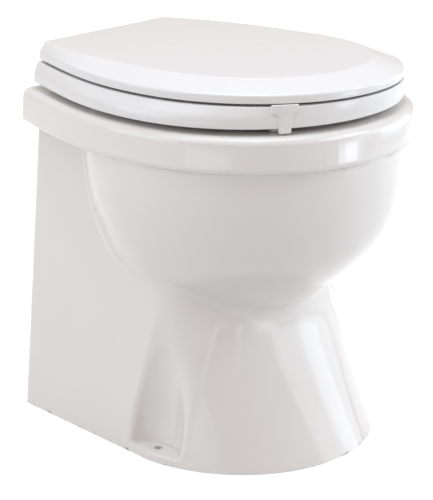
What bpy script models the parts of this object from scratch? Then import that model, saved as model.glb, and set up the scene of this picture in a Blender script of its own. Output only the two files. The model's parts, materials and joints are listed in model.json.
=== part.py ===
"""Compact electric marine toilet, modelled as separate pieces at real size.

Metres, +Z up. The origin is on the floor under the middle of the object, the front faces -Y and the
symmetry plane is X = 0. The seat and the lid turn about one axis behind them, and the pump rotor turns
about a level axis under the bowl.
"""

import math

import bmesh
import bpy
from mathutils import Matrix, Vector

# Driving dimensions of the china
RIM_WIDTH = 0.332
BODY_DEPTH = 0.388
RIM_HEIGHT = 0.3515
BAND_HEIGHT = 0.0355
BAND_FILLET = 0.007
BAND_DRAFT = 0.001
WIDEST_Y = -0.021
SHELF_WIDTH = 0.222
SHELF_SET_BACK = 0.007
SHELF_CORNER = 0.010
SHELF_THICKNESS = 0.0145
CHINA_WALL = 0.010
RIM_LIP_WIDTH = 0.040
RIM_LIP_THICKNESS = 0.012

BOWL_INSET = 0.0045
BOWL_REAR_MARGIN = 0.057
BOWL_SHOULDER_DROP = 0.0515
BOWL_BOTTOM_HEIGHT = 0.120

PEDESTAL_WIDTH = 0.278
PEDESTAL_REAR_WIDTH = 0.220
PEDESTAL_WIDEST_Y = -0.015
PEDESTAL_LEAN = 0.020
PEDESTAL_REAR_LEAN = 0.014
PEDESTAL_CORNER = 0.006
FOOT_REACH = 0.144
NECK_REACH = 0.078
NECK_HEIGHT = 0.130
NOSE_HEIGHT = 0.215
NOSE_REACH = 0.012
FOOT_FLARE_POWER = 1.15

# Bolt recesses in the sides of the foot
RECESS_FLOOR = 0.010
RECESS_HEIGHT = 0.137
RECESS_HALF_LENGTH = 0.033
RECESS_DEPTH = 0.026
RECESS_Y = -0.017
RECESS_TIP_SHIFT = 0.024
RECESS_UPRIGHT = 0.004
RECESS_WALL = 0.008
FLOOR_BOLT_HOLE = 0.009
FLOOR_BOLT_INSET = 0.013

# Bowl outlet and rinse inlet
OUTLET_Y = -0.040
OUTLET_BORE = 0.040
OUTLET_WALL = 0.006
SPIGOT_LENGTH = 0.037
RINSE_BELOW_RIM = 0.0275
RINSE_BORE = 0.0166
RINSE_BOSS = 0.028
RINSE_BOSS_LENGTH = 0.011

# Seat and lid
SEAT_WIDTH = 0.310
SEAT_REAR_WIDTH = 0.182
SEAT_FRONT_MARGIN = 0.012
SEAT_REAR_MARGIN = 0.014
SEAT_CORNER = 0.005
SEAT_GAP = 0.0045
SEAT_THICKNESS = 0.0225
SEAT_ROUND = 0.005
SEAT_HOLE_Y = -0.030
SEAT_RING_WIDTH = 0.055
SEAT_FRONT_RING_WIDTH = 0.040
SEAT_REAR_RING_WIDTH = 0.098
SEAT_HOLE_CHAMFER = 0.003
LID_GAP = 0.0025
LID_WALL_HEIGHT = 0.008
LID_RISE = 0.011
LID_BEVEL_WIDTH = 0.030
LID_BACK_BEVEL = 0.004
LID_WALL = 0.006
LID_SHELL = 0.005
LID_ROUND = 0.0015

# Hinges
HINGE_SPACING = 0.110
HINGE_BEHIND_SEAT = 0.002
HINGE_AXIS_RISE = 0.0015
POST_WIDTH = 0.016
POST_THICKNESS = 0.012
BARREL = 0.014
POST_FOOT_WIDTH = 0.022
POST_FOOT_MARGIN = 0.001
POST_FOOT_THICKNESS = 0.0028
STUD_FORWARD = 0.013
STUD = 0.008
STUD_LENGTH = 0.034
STUD_HOLE = 0.011
PIN = 0.006
PIN_END = 0.001
LUG_WIDTH = 0.010
LUG = 0.012
LUG_NECK = 0.013
SEAT_LUG_DROP = 0.012
LID_LUG_RISE = 0.016
SIDE_CLEARANCE = 0.0012
LUG_CLEARANCE = 0.0015
LUG_FRONT_CLEARANCE = 0.0025
POST_CLEARANCE = 0.005
WASHER = 0.026
WASHER_THICKNESS = 0.004
NUT_HUB = 0.016
NUT_HEIGHT = 0.009
NUT_SPAN = 0.032
NUT_WING = 0.004

# Rubber bumpers and the lift tab
BUMPER = 0.014
FRONT_BUMPER_INSET = 0.067
FRONT_BUMPER_BEHIND_EDGE = 0.047
REAR_BUMPER_INSET = 0.031
REAR_BUMPER_BEHIND_MIDDLE = 0.081
LID_BUMPER_INSET = 0.053
LID_BUMPER_AHEAD = 0.045
TAB_WIDTH = 0.026
TAB_FINGER_WIDTH = 0.012
TAB_THICKNESS = 0.003
TAB_ANGLE = math.radians(38)
TAB_BLOCK_HEIGHT = 0.0085
TAB_BELOW_SEAT = 0.0025

# Pump
PUMP_HEIGHT = 0.055
CHAMBER = 0.092
CHAMBER_LENGTH = 0.036
CHAMBER_WALL = 0.006
CHAMBER_BACK = 0.009
FLANGE = 0.104
FLANGE_THICKNESS = 0.005
COVER_THICKNESS = 0.006
INLET_LENGTH = 0.024
IMPELLER = 0.072
IMPELLER_THICKNESS = 0.009
IMPELLER_HUB = 0.020
IMPELLER_VANES = 6
VANE_THICKNESS = 0.003
CHOPPER_LENGTH = 0.060
CHOPPER_WIDTH = 0.012
CHOPPER_THICKNESS = 0.003
SHAFT = 0.008
SEAL_OUTER = 0.016
MOTOR = 0.078
MOTOR_LENGTH = 0.094
MOTOR_WALL = 0.003
MOTOR_FRONT = 0.008
END_CAP_LENGTH = 0.012
BEARING = 0.019
BEARING_WIDTH = 0.006
ARMATURE = 0.046
ARMATURE_LENGTH = 0.046
COMMUTATOR = 0.026
COMMUTATOR_LENGTH = 0.012
MAGNET_THICKNESS = 0.009
MAGNET_LENGTH = 0.056
MAGNET_SWEEP = math.radians(120)
GLAND = 0.014
GLAND_LENGTH = 0.012
GLAND_HOLE = 0.006
GLAND_OFFSET = 0.020
COVER_SCREWS = 4
SCREW_HEAD = 0.007
SCREW_HEAD_HEIGHT = 0.003
SCREW = 0.0036
SCREW_CIRCLE = 0.097

# Discharge
PORT = 0.026
PORT_BORE = 0.020
PORT_REACH = 0.057
PORT_FLANGE = 0.044
PORT_FLANGE_THICKNESS = 0.004
ELBOW = 0.024
ELBOW_BORE = 0.017
ELBOW_X = 0.080
ELBOW_BEND = 0.014
ELBOW_END_MARGIN = 0.008
BARB_RISE = 0.0015
BARB_LENGTH = 0.007
BARBS = 2
JOKER_THICKNESS = 0.003
JOKER_LENGTH = 0.009
JOKER_OUTER = 0.014
JOKER_MOUTH = 0.008
JOKER_WALL = 0.0018
ELBOW_SCREW_SPREAD = 0.034

# Outlet elbow of rubber
SLEEVE_WALL = 0.0045
SLEEVE_BEND = 0.036
SLEEVE_GRIP = 0.018
CLAMP_WIDTH = 0.009
CLAMP_THICKNESS = 0.0012
CLAMP_BLOCK = 0.010
CLAMP_SETBACK = 0.003

# Pump base
BASE_WIDTH = 0.110
BASE_MARGIN = 0.006
BASE_THICKNESS = 0.004
FOOT_PAD = 0.018
FOOT_PAD_INSET = 0.012
FOOT_PAD_HEIGHT = 0.005
SADDLE_WIDTH = 0.060
SADDLE_LENGTH = 0.014
SADDLE_RISE = 0.018
SADDLE_SPREAD = 0.052
STRAP_WIDTH = 0.010
STRAP_THICKNESS = 0.0015
STRAP_EAR = 0.012
STRAP_SCREW_LENGTH = 0.005

# Rinse elbow
RINSE_TUBE = 0.012
RINSE_TUBE_BORE = 0.008
RINSE_COLLAR = 0.024
RINSE_COLLAR_THICKNESS = 0.003
RINSE_BEND = 0.009
RINSE_DROP = 0.034
RINSE_BARB_RISE = 0.001
RINSE_BARB_LENGTH = 0.005

GAP = 0.0003
SCREW_CLEARANCE = 0.0006
OVERRUN = 0.006
MERGE = 0.00001

# Counts of sides
CORNER_STEPS = 3
SIDE_STEPS = 6
FRONT_STEPS = 9
OVAL_SIDES = 40
BOWL_STEPS = 7
ROUND_SIDES = 24
SMALL_SIDES = 16
SCREW_SIDES = 8
BEND_STEPS = 5

# Shapes of the outlines: shares of a length, and powers of the rounded fronts
SIDE_PULL_share = 0.36
RECESS_TIP_share = 0.02
EDGE_TURN_share = 0.3
LEVEL_shares = (0, 0.09, 0.23, 0.42, 0.65, 0.85, 1)
RIM_POWER = 2.18
SEAT_POWER = 2.09
FOOT_POWER = 2.06
FLARE = math.radians(24)

FINISHES = {
    "vitreous_china": ((0.86, 0.85, 0.84), 0.12, 0.0),
    "seat_plastic": ((0.90, 0.90, 0.89), 0.18, 0.0),
    "hinge_plastic": ((0.82, 0.82, 0.81), 0.30, 0.0),
    "stainless": ((0.62, 0.62, 0.63), 0.28, 1.0),
    "black_rubber": ((0.03, 0.03, 0.03), 0.70, 0.0),
    "clear_buffer": ((0.78, 0.78, 0.76), 0.40, 0.0),
    "pump_plastic": ((0.05, 0.05, 0.055), 0.45, 0.0),
    "motor_paint": ((0.10, 0.11, 0.12), 0.35, 0.2),
    "base_plastic": ((0.20, 0.20, 0.21), 0.50, 0.0),
    "bronze": ((0.55, 0.38, 0.20), 0.35, 1.0),
    "steel_laminate": ((0.35, 0.34, 0.33), 0.40, 1.0),
}

# Places that follow from the sizes above
FRONT_Y = -BODY_DEPTH / 2
REAR_Y = BODY_DEPTH / 2
SHELF_Y = REAR_Y - SHELF_SET_BACK
BAND_BOTTOM = RIM_HEIGHT - BAND_HEIGHT
BOWL_SHOULDER_HEIGHT = RIM_HEIGHT - BOWL_SHOULDER_DROP
BOWL_DEPTH = BOWL_SHOULDER_HEIGHT - BOWL_BOTTOM_HEIGHT
BOWL_REAR_REACH = REAR_Y - BOWL_REAR_MARGIN - WIDEST_Y
RINSE_HEIGHT = RIM_HEIGHT - RINSE_BELOW_RIM
SEAT_BOTTOM = RIM_HEIGHT + SEAT_GAP
SEAT_TOP = SEAT_BOTTOM + SEAT_THICKNESS
LID_BOTTOM = SEAT_TOP + LID_GAP
LID_EDGE = LID_BOTTOM + LID_WALL_HEIGHT
LID_TOP = LID_EDGE + LID_RISE
SEAT_FRONT = FRONT_Y + SEAT_FRONT_MARGIN
SEAT_REAR = SHELF_Y - SEAT_REAR_MARGIN
AXIS_Y = SEAT_REAR + HINGE_BEHIND_SEAT
AXIS_Z = SEAT_TOP + HINGE_AXIS_RISE
STUD_Y = AXIS_Y - STUD_FORWARD
SPIGOT_TOP = BOWL_BOTTOM_HEIGHT + CHINA_WALL
SPIGOT_BOTTOM = SPIGOT_TOP - SPIGOT_LENGTH
OUTLET_OUTER = OUTLET_BORE + 2 * OUTLET_WALL
INLET_START = OUTLET_Y + SLEEVE_BEND + OVERRUN
COVER_Y = INLET_START + INLET_LENGTH
CHAMBER_Y = COVER_Y + COVER_THICKNESS + GAP
MOTOR_Y = CHAMBER_Y + CHAMBER_LENGTH + GAP
END_CAP_Y = MOTOR_Y + MOTOR_LENGTH + GAP
PORT_Y = CHAMBER_Y + (CHAMBER_LENGTH - CHAMBER_BACK) / 2

PARTS = None
CUTTERS = None


def clear_scene():
    for obj in list(bpy.data.objects):
        bpy.data.objects.remove(obj, do_unlink=True)


def new_collection(name):
    made = bpy.data.collections.new(name)
    bpy.context.scene.collection.children.link(made)
    return made


def finish_material(finish):
    found = bpy.data.materials.get(finish)
    if found:
        return found
    colour, roughness, metallic = FINISHES[finish]
    made = bpy.data.materials.new(finish)
    made.use_nodes = True
    shader = made.node_tree.nodes["Principled BSDF"]
    shader.inputs["Base Color"].default_value = (*colour, 1.0)
    shader.inputs["Roughness"].default_value = roughness
    shader.inputs["Metallic"].default_value = metallic
    return made


def place_mesh(name, bm, finish, place=None):
    """Makes an object of the mesh. One without a finish is a cutter."""
    bmesh.ops.recalc_face_normals(bm, faces=bm.faces)
    mesh = bpy.data.meshes.new(name)
    bm.to_mesh(mesh)
    bm.free()
    mesh.shade_smooth()
    mesh.set_sharp_from_angle(angle=math.radians(35))
    obj = bpy.data.objects.new(name, mesh)
    if finish:
        mesh.materials.append(finish_material(finish))
        PARTS.objects.link(obj)
    else:
        CUTTERS.objects.link(obj)
        obj.hide_render = True
        obj.display_type = "WIRE"
    if place:
        obj.matrix_world = place
    return obj


def join(target, other, operation="UNION"):
    modifier = target.modifiers.new(f"{operation.lower()} {other.name}", "BOOLEAN")
    modifier.operation = operation
    modifier.solver = "EXACT"
    modifier.object = other
    return target


def cut(target, *cutters):
    for cutter in cutters:
        join(target, cutter, "DIFFERENCE")
    return target


def carry(axis, *pieces):
    """Parents the pieces to the empty on their joint's axis, and keeps them where they are."""
    for piece in pieces:
        piece.parent = axis
        piece.matrix_parent_inverse = Matrix.Translation(axis.location).inverted()


def joint_axis(name, place):
    empty = bpy.data.objects.new(name, None)
    empty.location = place
    PARTS.objects.link(empty)
    return empty


# Turns local Z to the named direction
TURNS = {
    "X": Matrix.Rotation(math.radians(90), 4, "Y"),
    "Y": Matrix.Rotation(math.radians(-90), 4, "X"),
    "Z": Matrix.Identity(4),
}


def cylinder(name, finish, diameter, length, start, along="Z", sides=ROUND_SIDES, end_diameter=None):
    """A cylinder or cone that begins at start and runs along an axis."""
    bm = bmesh.new()
    far = diameter if end_diameter is None else end_diameter
    bmesh.ops.create_cone(
        bm, cap_ends=True, segments=sides, radius1=diameter / 2, radius2=far / 2, depth=length
    )
    bmesh.ops.translate(bm, verts=bm.verts, vec=(0, 0, length / 2))
    return place_mesh(name, bm, finish, Matrix.Translation(start) @ TURNS[along])


def box(name, finish, low, high, rounding=0, turn=None):
    bm = bmesh.new()
    bmesh.ops.create_cube(bm, size=1)
    low, high = Vector(low), Vector(high)
    bmesh.ops.scale(bm, verts=bm.verts, vec=high - low)
    if rounding:
        bmesh.ops.bevel(bm, geom=bm.edges, offset=rounding, segments=2, profile=0.5, affect="EDGES")
    place = Matrix.Translation((low + high) / 2)
    return place_mesh(name, bm, finish, turn @ place if turn else place)


def turned(name, finish, profile, start, along="Z", sides=ROUND_SIDES):
    """A turned piece: radius and height pairs, from its top down its outside and up its bore."""
    mesh = bpy.data.meshes.new(name)
    closed = [(radius, 0, height) for radius, height in profile]
    count = len(closed)
    ring = profile[0][0] > 0
    edges = [(i, (i + 1) % count) for i in range(count if ring else count - 1)]
    mesh.from_pydata(closed, edges, [])
    obj = bpy.data.objects.new(name, mesh)
    if finish:
        mesh.materials.append(finish_material(finish))
        PARTS.objects.link(obj)
    else:
        CUTTERS.objects.link(obj)
        obj.hide_render = True
        obj.display_type = "WIRE"
    obj.matrix_world = Matrix.Translation(start) @ TURNS[along]
    screw = obj.modifiers.new("turn", "SCREW")
    screw.steps = screw.render_steps = sides
    screw.use_merge_vertices = True
    screw.merge_threshold = MERGE
    return obj


def tube_wall(name, finish, outer, bore, length, start, along="Z", sides=ROUND_SIDES):
    profile = [(outer / 2, length), (outer / 2, 0), (bore / 2, 0), (bore / 2, length)]
    return turned(name, finish, profile, start, along, sides)


def loft(name, finish, rings):
    """A closed skin through rings of the same count, with a flat face at each end."""
    bm = bmesh.new()
    loops = [[bm.verts.new(point) for point in ring] for ring in rings]
    for lower, upper in zip(loops, loops[1:]):
        for i in range(len(lower)):
            j = (i + 1) % len(lower)
            bm.faces.new((lower[i], lower[j], upper[j], upper[i]))
    bm.faces.new(loops[0][::-1])
    bm.faces.new(loops[-1])
    return place_mesh(name, bm, finish)


def d_half(half_width, widest_y, front_y, rear_y, rear_half, corner, power, flare):
    """Half of a D-shaped outline, from the middle of the back round the +X side to the front."""
    centre = Vector((rear_half - corner, rear_y - corner))
    points = [Vector((0, rear_y))]
    for i in range(CORNER_STEPS + 1):
        angle = math.radians(90) + (flare - math.radians(90)) * i / CORNER_STEPS
        points.append(centre + corner * Vector((math.cos(angle), math.sin(angle))))
    start, end = points[-1], Vector((half_width, widest_y))
    pull = SIDE_PULL_share * (end - start).length
    first = start + pull * Vector((math.sin(flare), -math.cos(flare)))
    second = end + Vector((0, pull))
    for i in range(1, SIDE_STEPS + 1):
        t = i / SIDE_STEPS
        u = 1 - t
        points.append(u**3 * start + 3 * u * u * t * first + 3 * u * t * t * second + t**3 * end)
    for i in range(1, FRONT_STEPS + 1):
        angle = math.radians(90) * i / FRONT_STEPS
        points.append(
            Vector(
                (
                    half_width * max(math.cos(angle), 0) ** (2 / power),
                    widest_y - (widest_y - front_y) * math.sin(angle) ** (2 / power),
                )
            )
        )
    points[-1].x = 0
    return points


def full_ring(half, height):
    """The whole outline at one height, mirrored about X = 0."""
    right = [(p.x, p.y, height) for p in half]
    left = [(-p.x, p.y, height) for p in half[-2:0:-1]]
    return right + left


def rim_half(inset):
    return d_half(
        RIM_WIDTH / 2 - inset,
        WIDEST_Y,
        FRONT_Y + inset,
        SHELF_Y - inset,
        SHELF_WIDTH / 2 - inset,
        SHELF_CORNER,
        RIM_POWER,
        FLARE,
    )


def seat_half(inset, rear_inset=None):
    behind = inset if rear_inset is None else rear_inset
    return d_half(
        SEAT_WIDTH / 2 - inset,
        WIDEST_Y,
        SEAT_FRONT + inset,
        SEAT_REAR - behind,
        SEAT_REAR_WIDTH / 2 - behind,
        SEAT_CORNER,
        SEAT_POWER,
        FLARE,
    )


def foot_reach(height):
    """How far the pedestal's front stands before its widest line, at a height."""
    if height <= NECK_HEIGHT:
        share = (1 - height / NECK_HEIGHT) ** FOOT_FLARE_POWER
        return NECK_REACH + (FOOT_REACH - NECK_REACH) * share
    share = min((height - NECK_HEIGHT) / (NOSE_HEIGHT - NECK_HEIGHT), 1)
    return NECK_REACH + (NOSE_REACH - NECK_REACH) * share


def pedestal_half(height, inset=0, rear_y=None):
    """The pedestal's outline at a height: flat sides that narrow to the back, and a rounded front."""
    share = max(height, 0) / BAND_BOTTOM
    lean = PEDESTAL_LEAN * share
    rear = REAR_Y - PEDESTAL_REAR_LEAN * share - inset if rear_y is None else rear_y
    half_width = PEDESTAL_WIDTH / 2 - lean - inset
    rear_half = PEDESTAL_REAR_WIDTH / 2 - lean - inset
    reach = max(foot_reach(max(height, 0)) - inset, NOSE_REACH / 2)
    wall_slope = math.atan2(half_width - rear_half, REAR_Y - PEDESTAL_WIDEST_Y)
    corner = PEDESTAL_CORNER
    centre = Vector((rear_half - corner, rear - corner))
    points = [Vector((0, rear))]
    for i in range(CORNER_STEPS + 1):
        angle = math.radians(90) + (wall_slope - math.radians(90)) * i / CORNER_STEPS
        points.append(centre + corner * Vector((math.cos(angle), math.sin(angle))))
    start, end = points[-1], Vector((half_width, PEDESTAL_WIDEST_Y))
    points += [start.lerp(end, i / SIDE_STEPS) for i in range(1, SIDE_STEPS + 1)]
    power = 2 / FOOT_POWER
    for i in range(1, FRONT_STEPS + 1):
        angle = math.radians(90) * i / FRONT_STEPS
        x = half_width * max(math.cos(angle), 0) ** power
        points.append(Vector((x, PEDESTAL_WIDEST_Y - reach * math.sin(angle) ** power)))
    points[-1].x = 0
    return points


def oval(half_width, front, rear, height, centre_y=WIDEST_Y):
    """An oval ring whose front and rear reaches differ."""
    ring = []
    for i in range(OVAL_SIDES):
        angle = 2 * math.pi * i / OVAL_SIDES
        reach = rear if math.sin(angle) > 0 else front
        ring.append((half_width * math.cos(angle), centre_y + reach * math.sin(angle), height))
    return ring


def bowl_rings(inset, top):
    """Rings of the bowl from its bottom up to its shoulder, and straight on to a top height."""
    half_width = RIM_WIDTH / 2 - BOWL_INSET - inset
    front = WIDEST_Y - FRONT_Y - BOWL_INSET - inset
    rear = BOWL_REAR_REACH - inset
    depth = BOWL_DEPTH - inset
    rings = []
    for i in range(1, BOWL_STEPS + 1):
        angle = math.radians(90) * i / BOWL_STEPS
        size = math.sin(angle)
        height = BOWL_SHOULDER_HEIGHT - depth * math.cos(angle)
        rings.append(oval(half_width * size, front * size, rear * size, height))
    rings.append(oval(half_width, front, rear, top))
    return rings


def recess(name, grow, low):
    """The two cones that hollow the bolt recesses, one to each side, each over a short upright wall."""
    spring = RECESS_FLOOR + RECESS_UPRIGHT
    tip = spring + RECESS_HEIGHT - RECESS_UPRIGHT + grow
    cones = []
    for side in (-1, 1):
        rings = []
        for height, up in ((low, 0), (spring, 0), (tip, 1)):
            size = 1 - up * (1 - RECESS_TIP_share)
            ring = []
            for i in range(ROUND_SIDES):
                angle = 2 * math.pi * i / ROUND_SIDES
                x = side * (PEDESTAL_WIDTH - PEDESTAL_LEAN * up) / 2
                x += size * (RECESS_DEPTH + grow) * math.cos(angle)
                y = RECESS_Y - RECESS_TIP_SHIFT * up + size * (RECESS_HALF_LENGTH + grow) * math.sin(angle)
                ring.append((x, y, height))
            rings.append(ring)
        cones.append(loft(f"{name}_{'right' if side > 0 else 'left'}", None, rings))
    return cones


def china():
    """The one casting: pedestal, rim band with shelf, bowl, outlet spigot and rinse boss."""
    low = [NECK_HEIGHT * share for share in LEVEL_shares]
    high = [NECK_HEIGHT + (NOSE_HEIGHT - NECK_HEIGHT) * share for share in LEVEL_shares[2::2]]
    heights = low + high + [BAND_BOTTOM + OVERRUN / 2]
    body = loft("china_bowl", "vitreous_china", [full_ring(pedestal_half(z), z) for z in heights])

    fillet = BAND_FILLET
    band_profile = [
        (BAND_DRAFT + fillet / 4, BAND_BOTTOM),
        (0, BAND_BOTTOM + fillet / 4),
        (BAND_DRAFT, RIM_HEIGHT - fillet),
        (BAND_DRAFT + fillet * EDGE_TURN_share, RIM_HEIGHT - fillet * EDGE_TURN_share),
        (BAND_DRAFT + fillet, RIM_HEIGHT),
    ]
    band = loft("rim_band", None, [full_ring(rim_half(inset), z) for inset, z in band_profile])
    join(body, band)

    bay_top = BAND_BOTTOM - CHINA_WALL
    bay_heights = [-OVERRUN] + [z for z in low[1:] + high] + [bay_top]
    past_rear = REAR_Y + OVERRUN
    bay = loft(
        "pump_bay",
        None,
        [full_ring(pedestal_half(z, CHINA_WALL, past_rear), z) for z in bay_heights],
    )
    cut(bay, *recess("recess_boss", RECESS_WALL, -2 * OVERRUN))
    hollow_top = RIM_HEIGHT - SHELF_THICKNESS
    shelf_rear = SHELF_Y - CHINA_WALL
    hollow_half = pedestal_half(BAND_BOTTOM, CHINA_WALL, shelf_rear)
    hollow = loft(
        "shelf_hollow", None, [full_ring(hollow_half, z) for z in (bay_top - OVERRUN, hollow_top)]
    )
    cut(body, bay, hollow)

    bowl = loft("bowl_outside", None, bowl_rings(0, RIM_HEIGHT - CHINA_WALL))
    spigot = cylinder(
        "outlet_spigot", None, OUTLET_OUTER, SPIGOT_LENGTH + OVERRUN, (0, OUTLET_Y, SPIGOT_BOTTOM)
    )
    bowl_rear = WIDEST_Y + BOWL_REAR_REACH
    boss = cylinder(
        "rinse_boss",
        None,
        RINSE_BOSS,
        RINSE_BOSS_LENGTH + CHINA_WALL / 2,
        (0, bowl_rear - CHINA_WALL / 2, RINSE_HEIGHT),
        "Y",
        SMALL_SIDES,
    )
    for piece in (bowl, spigot, boss):
        join(body, piece)

    lip_under = RIM_HEIGHT - RIM_LIP_THICKNESS
    cavity = loft("bowl_cavity", None, bowl_rings(CHINA_WALL, lip_under))
    opening_half = RIM_WIDTH / 2 - RIM_LIP_WIDTH
    opening_front = WIDEST_Y - FRONT_Y - RIM_LIP_WIDTH
    opening_rear = BOWL_REAR_REACH - RIM_LIP_WIDTH
    opening = loft(
        "rim_opening",
        None,
        [
            oval(opening_half, opening_front, opening_rear, z)
            for z in (lip_under - OVERRUN, RIM_HEIGHT + OVERRUN)
        ],
    )
    bore = cylinder(
        "outlet_bore", None, OUTLET_BORE, SPIGOT_LENGTH + 2 * OVERRUN + CHINA_WALL,
        (0, OUTLET_Y, SPIGOT_BOTTOM - OVERRUN),
    )
    rinse = cylinder(
        "rinse_bore", None, RINSE_BORE, RINSE_BOSS_LENGTH + 2 * CHINA_WALL + OVERRUN,
        (0, bowl_rear - 2 * CHINA_WALL, RINSE_HEIGHT), "Y", SMALL_SIDES,
    )
    cut(body, cavity, opening, bore, rinse)
    cut(body, *recess("recess_cut", 0, RECESS_FLOOR))
    for side in (-1, 1):
        name = "right" if side > 0 else "left"
        hole_x = side * (PEDESTAL_WIDTH / 2 - FLOOR_BOLT_INSET)
        bolt = cylinder(
            f"floor_bolt_hole_{name}", None, FLOOR_BOLT_HOLE, RECESS_FLOOR + 2 * OVERRUN,
            (hole_x, RECESS_Y, -OVERRUN), "Z", SMALL_SIDES,
        )
        stud = cylinder(
            f"stud_hole_{name}", None, STUD_HOLE, SHELF_THICKNESS + 2 * OVERRUN,
            (side * HINGE_SPACING / 2, STUD_Y, RIM_HEIGHT - SHELF_THICKNESS - OVERRUN), "Z", SMALL_SIDES,
        )
        cut(body, bolt, stud)
    return body


def seat_edge(angle):
    """The point of the seat's rounded front whose outward normal is turned by the angle from -Y to -X."""
    across, reach, power = SEAT_WIDTH / 2, WIDEST_Y - SEAT_FRONT, SEAT_POWER
    ratio = (math.tan(angle) * (across / reach) ** power) ** (1 / (power - 1))
    forward = (1 / ((ratio / across) ** power + (1 / reach) ** power)) ** (1 / power)
    return Vector((-ratio * forward, WIDEST_Y - forward, 0))


def hinge_box(name, side, inner, outer, low_y, low_z, high_y, high_z):
    """A box beside a hinge post, from its inner to its outer distance from the middle."""
    xs = sorted((side * inner, side * outer))
    return box(name, None, (xs[0], low_y, low_z), (xs[1], high_y, high_z))


def hinge_sides():
    """The named hinge sides, and where each side's lid lug and seat lug start."""
    middle = HINGE_SPACING / 2
    step = POST_WIDTH / 2 + SIDE_CLEARANCE
    for side, name in ((-1, "left"), (1, "right")):
        yield side, name, middle, middle - step - LUG_WIDTH, middle + step


def add_lugs(piece, label, lug_end, low_z, high_z):
    """Joins a lug to each side of a seat or lid, and drills it for the hinge pin."""
    for side, name, _, lid_lug, seat_lug in hinge_sides():
        start = seat_lug if lug_end == "seat" else lid_lug
        block = hinge_box(
            f"{label}_lug_neck_{name}", side, start, start + LUG_WIDTH,
            AXIS_Y - LUG_NECK, low_z, AXIS_Y, high_z,
        )
        left_end = min(side * start, side * (start + LUG_WIDTH))
        lug = cylinder(
            f"{label}_lug_{name}", None, LUG, LUG_WIDTH, (left_end, AXIS_Y, AXIS_Z), "X", SMALL_SIDES
        )
        bore = cylinder(
            f"{label}_lug_bore_{name}", None, PIN + 2 * GAP, LUG_WIDTH + 2 * OVERRUN,
            (left_end - OVERRUN, AXIS_Y, AXIS_Z), "X", SMALL_SIDES,
        )
        join(piece, block)
        join(piece, lug)
        cut(piece, bore)


def cut_notches(piece, label, lug_of_other, low_z, high_z):
    """Clears the hinge posts, and the other flap's lugs, from the back edge of a seat or lid."""
    behind = AXIS_Y + LUG
    for side, name, middle, lid_lug, seat_lug in hinge_sides():
        half = POST_WIDTH / 2 + SIDE_CLEARANCE
        post = hinge_box(
            f"{label}_post_notch_{name}", side, middle - half, middle + half,
            AXIS_Y - POST_THICKNESS / 2 - POST_CLEARANCE, SEAT_BOTTOM - OVERRUN, behind, LID_TOP + OVERRUN,
        )
        start = lid_lug if lug_of_other == "lid" else seat_lug
        lug = hinge_box(
            f"{label}_lug_notch_{name}", side, start - SIDE_CLEARANCE, start + LUG_WIDTH + SIDE_CLEARANCE,
            AXIS_Y - LUG / 2 - LUG_FRONT_CLEARANCE, low_z, behind, high_z,
        )
        cut(piece, post, lug)


def seat():
    """The seat ring with its hole, its hinge lugs and the clearance for the posts."""
    rings = [
        (SEAT_ROUND, SEAT_BOTTOM),
        (SEAT_ROUND * EDGE_TURN_share, SEAT_BOTTOM + SEAT_ROUND * EDGE_TURN_share),
        (0, SEAT_BOTTOM + SEAT_ROUND),
        (0, SEAT_TOP - SEAT_ROUND),
        (SEAT_ROUND * EDGE_TURN_share, SEAT_TOP - SEAT_ROUND * EDGE_TURN_share),
        (SEAT_ROUND, SEAT_TOP),
    ]
    made = loft("seat", "seat_plastic", [full_ring(seat_half(inset), z) for inset, z in rings])
    across = SEAT_WIDTH / 2 - SEAT_RING_WIDTH
    front = SEAT_HOLE_Y - SEAT_FRONT - SEAT_FRONT_RING_WIDTH
    rear = SEAT_REAR - SEAT_REAR_RING_WIDTH - SEAT_HOLE_Y
    chamfer = SEAT_HOLE_CHAMFER
    past = chamfer * EDGE_TURN_share
    steps = [
        (chamfer + past, SEAT_BOTTOM - past),
        (0, SEAT_BOTTOM + chamfer),
        (0, SEAT_TOP - chamfer),
        (chamfer + past, SEAT_TOP + past),
    ]
    hole = loft(
        "seat_hole",
        None,
        [oval(across + grow, front + grow, rear + grow, z, SEAT_HOLE_Y) for grow, z in steps],
    )
    cut(made, hole)
    cut_notches(made, "seat", "lid", AXIS_Z - LUG / 2 - LUG_CLEARANCE, LID_TOP)
    add_lugs(made, "seat", "seat", AXIS_Z - SEAT_LUG_DROP, AXIS_Z)
    return made


def plateau_half(inset):
    bevel = LID_BEVEL_WIDTH + inset
    back = LID_BACK_BEVEL + inset
    return d_half(
        SEAT_WIDTH / 2 - bevel,
        WIDEST_Y,
        SEAT_FRONT + bevel,
        SEAT_REAR - back,
        SEAT_REAR_WIDTH / 2 - back,
        SEAT_CORNER,
        SEAT_POWER,
        FLARE,
    )


def lid():
    """The lid: a low shell whose bevel is wide at the front and fades to the back."""
    outside = [full_ring(seat_half(inset), z) for inset, z in (
        (LID_ROUND, LID_BOTTOM), (0, LID_BOTTOM + LID_ROUND), (0, LID_EDGE),
    )]
    made = loft("lid", "seat_plastic", outside + [full_ring(plateau_half(0), LID_TOP)])
    hollow = loft(
        "lid_hollow",
        None,
        [
            full_ring(seat_half(LID_WALL), LID_BOTTOM - OVERRUN),
            full_ring(seat_half(LID_WALL), LID_EDGE - LID_ROUND),
            full_ring(plateau_half(LID_SHELL), LID_TOP - LID_SHELL),
        ],
    )
    cut(made, hollow)
    add_lugs(made, "lid", "lid", AXIS_Z, AXIS_Z + LID_LUG_RISE)
    cut_notches(made, "lid", "seat", SEAT_BOTTOM, AXIS_Z + LUG / 2 + LUG_CLEARANCE)
    return made


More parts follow.
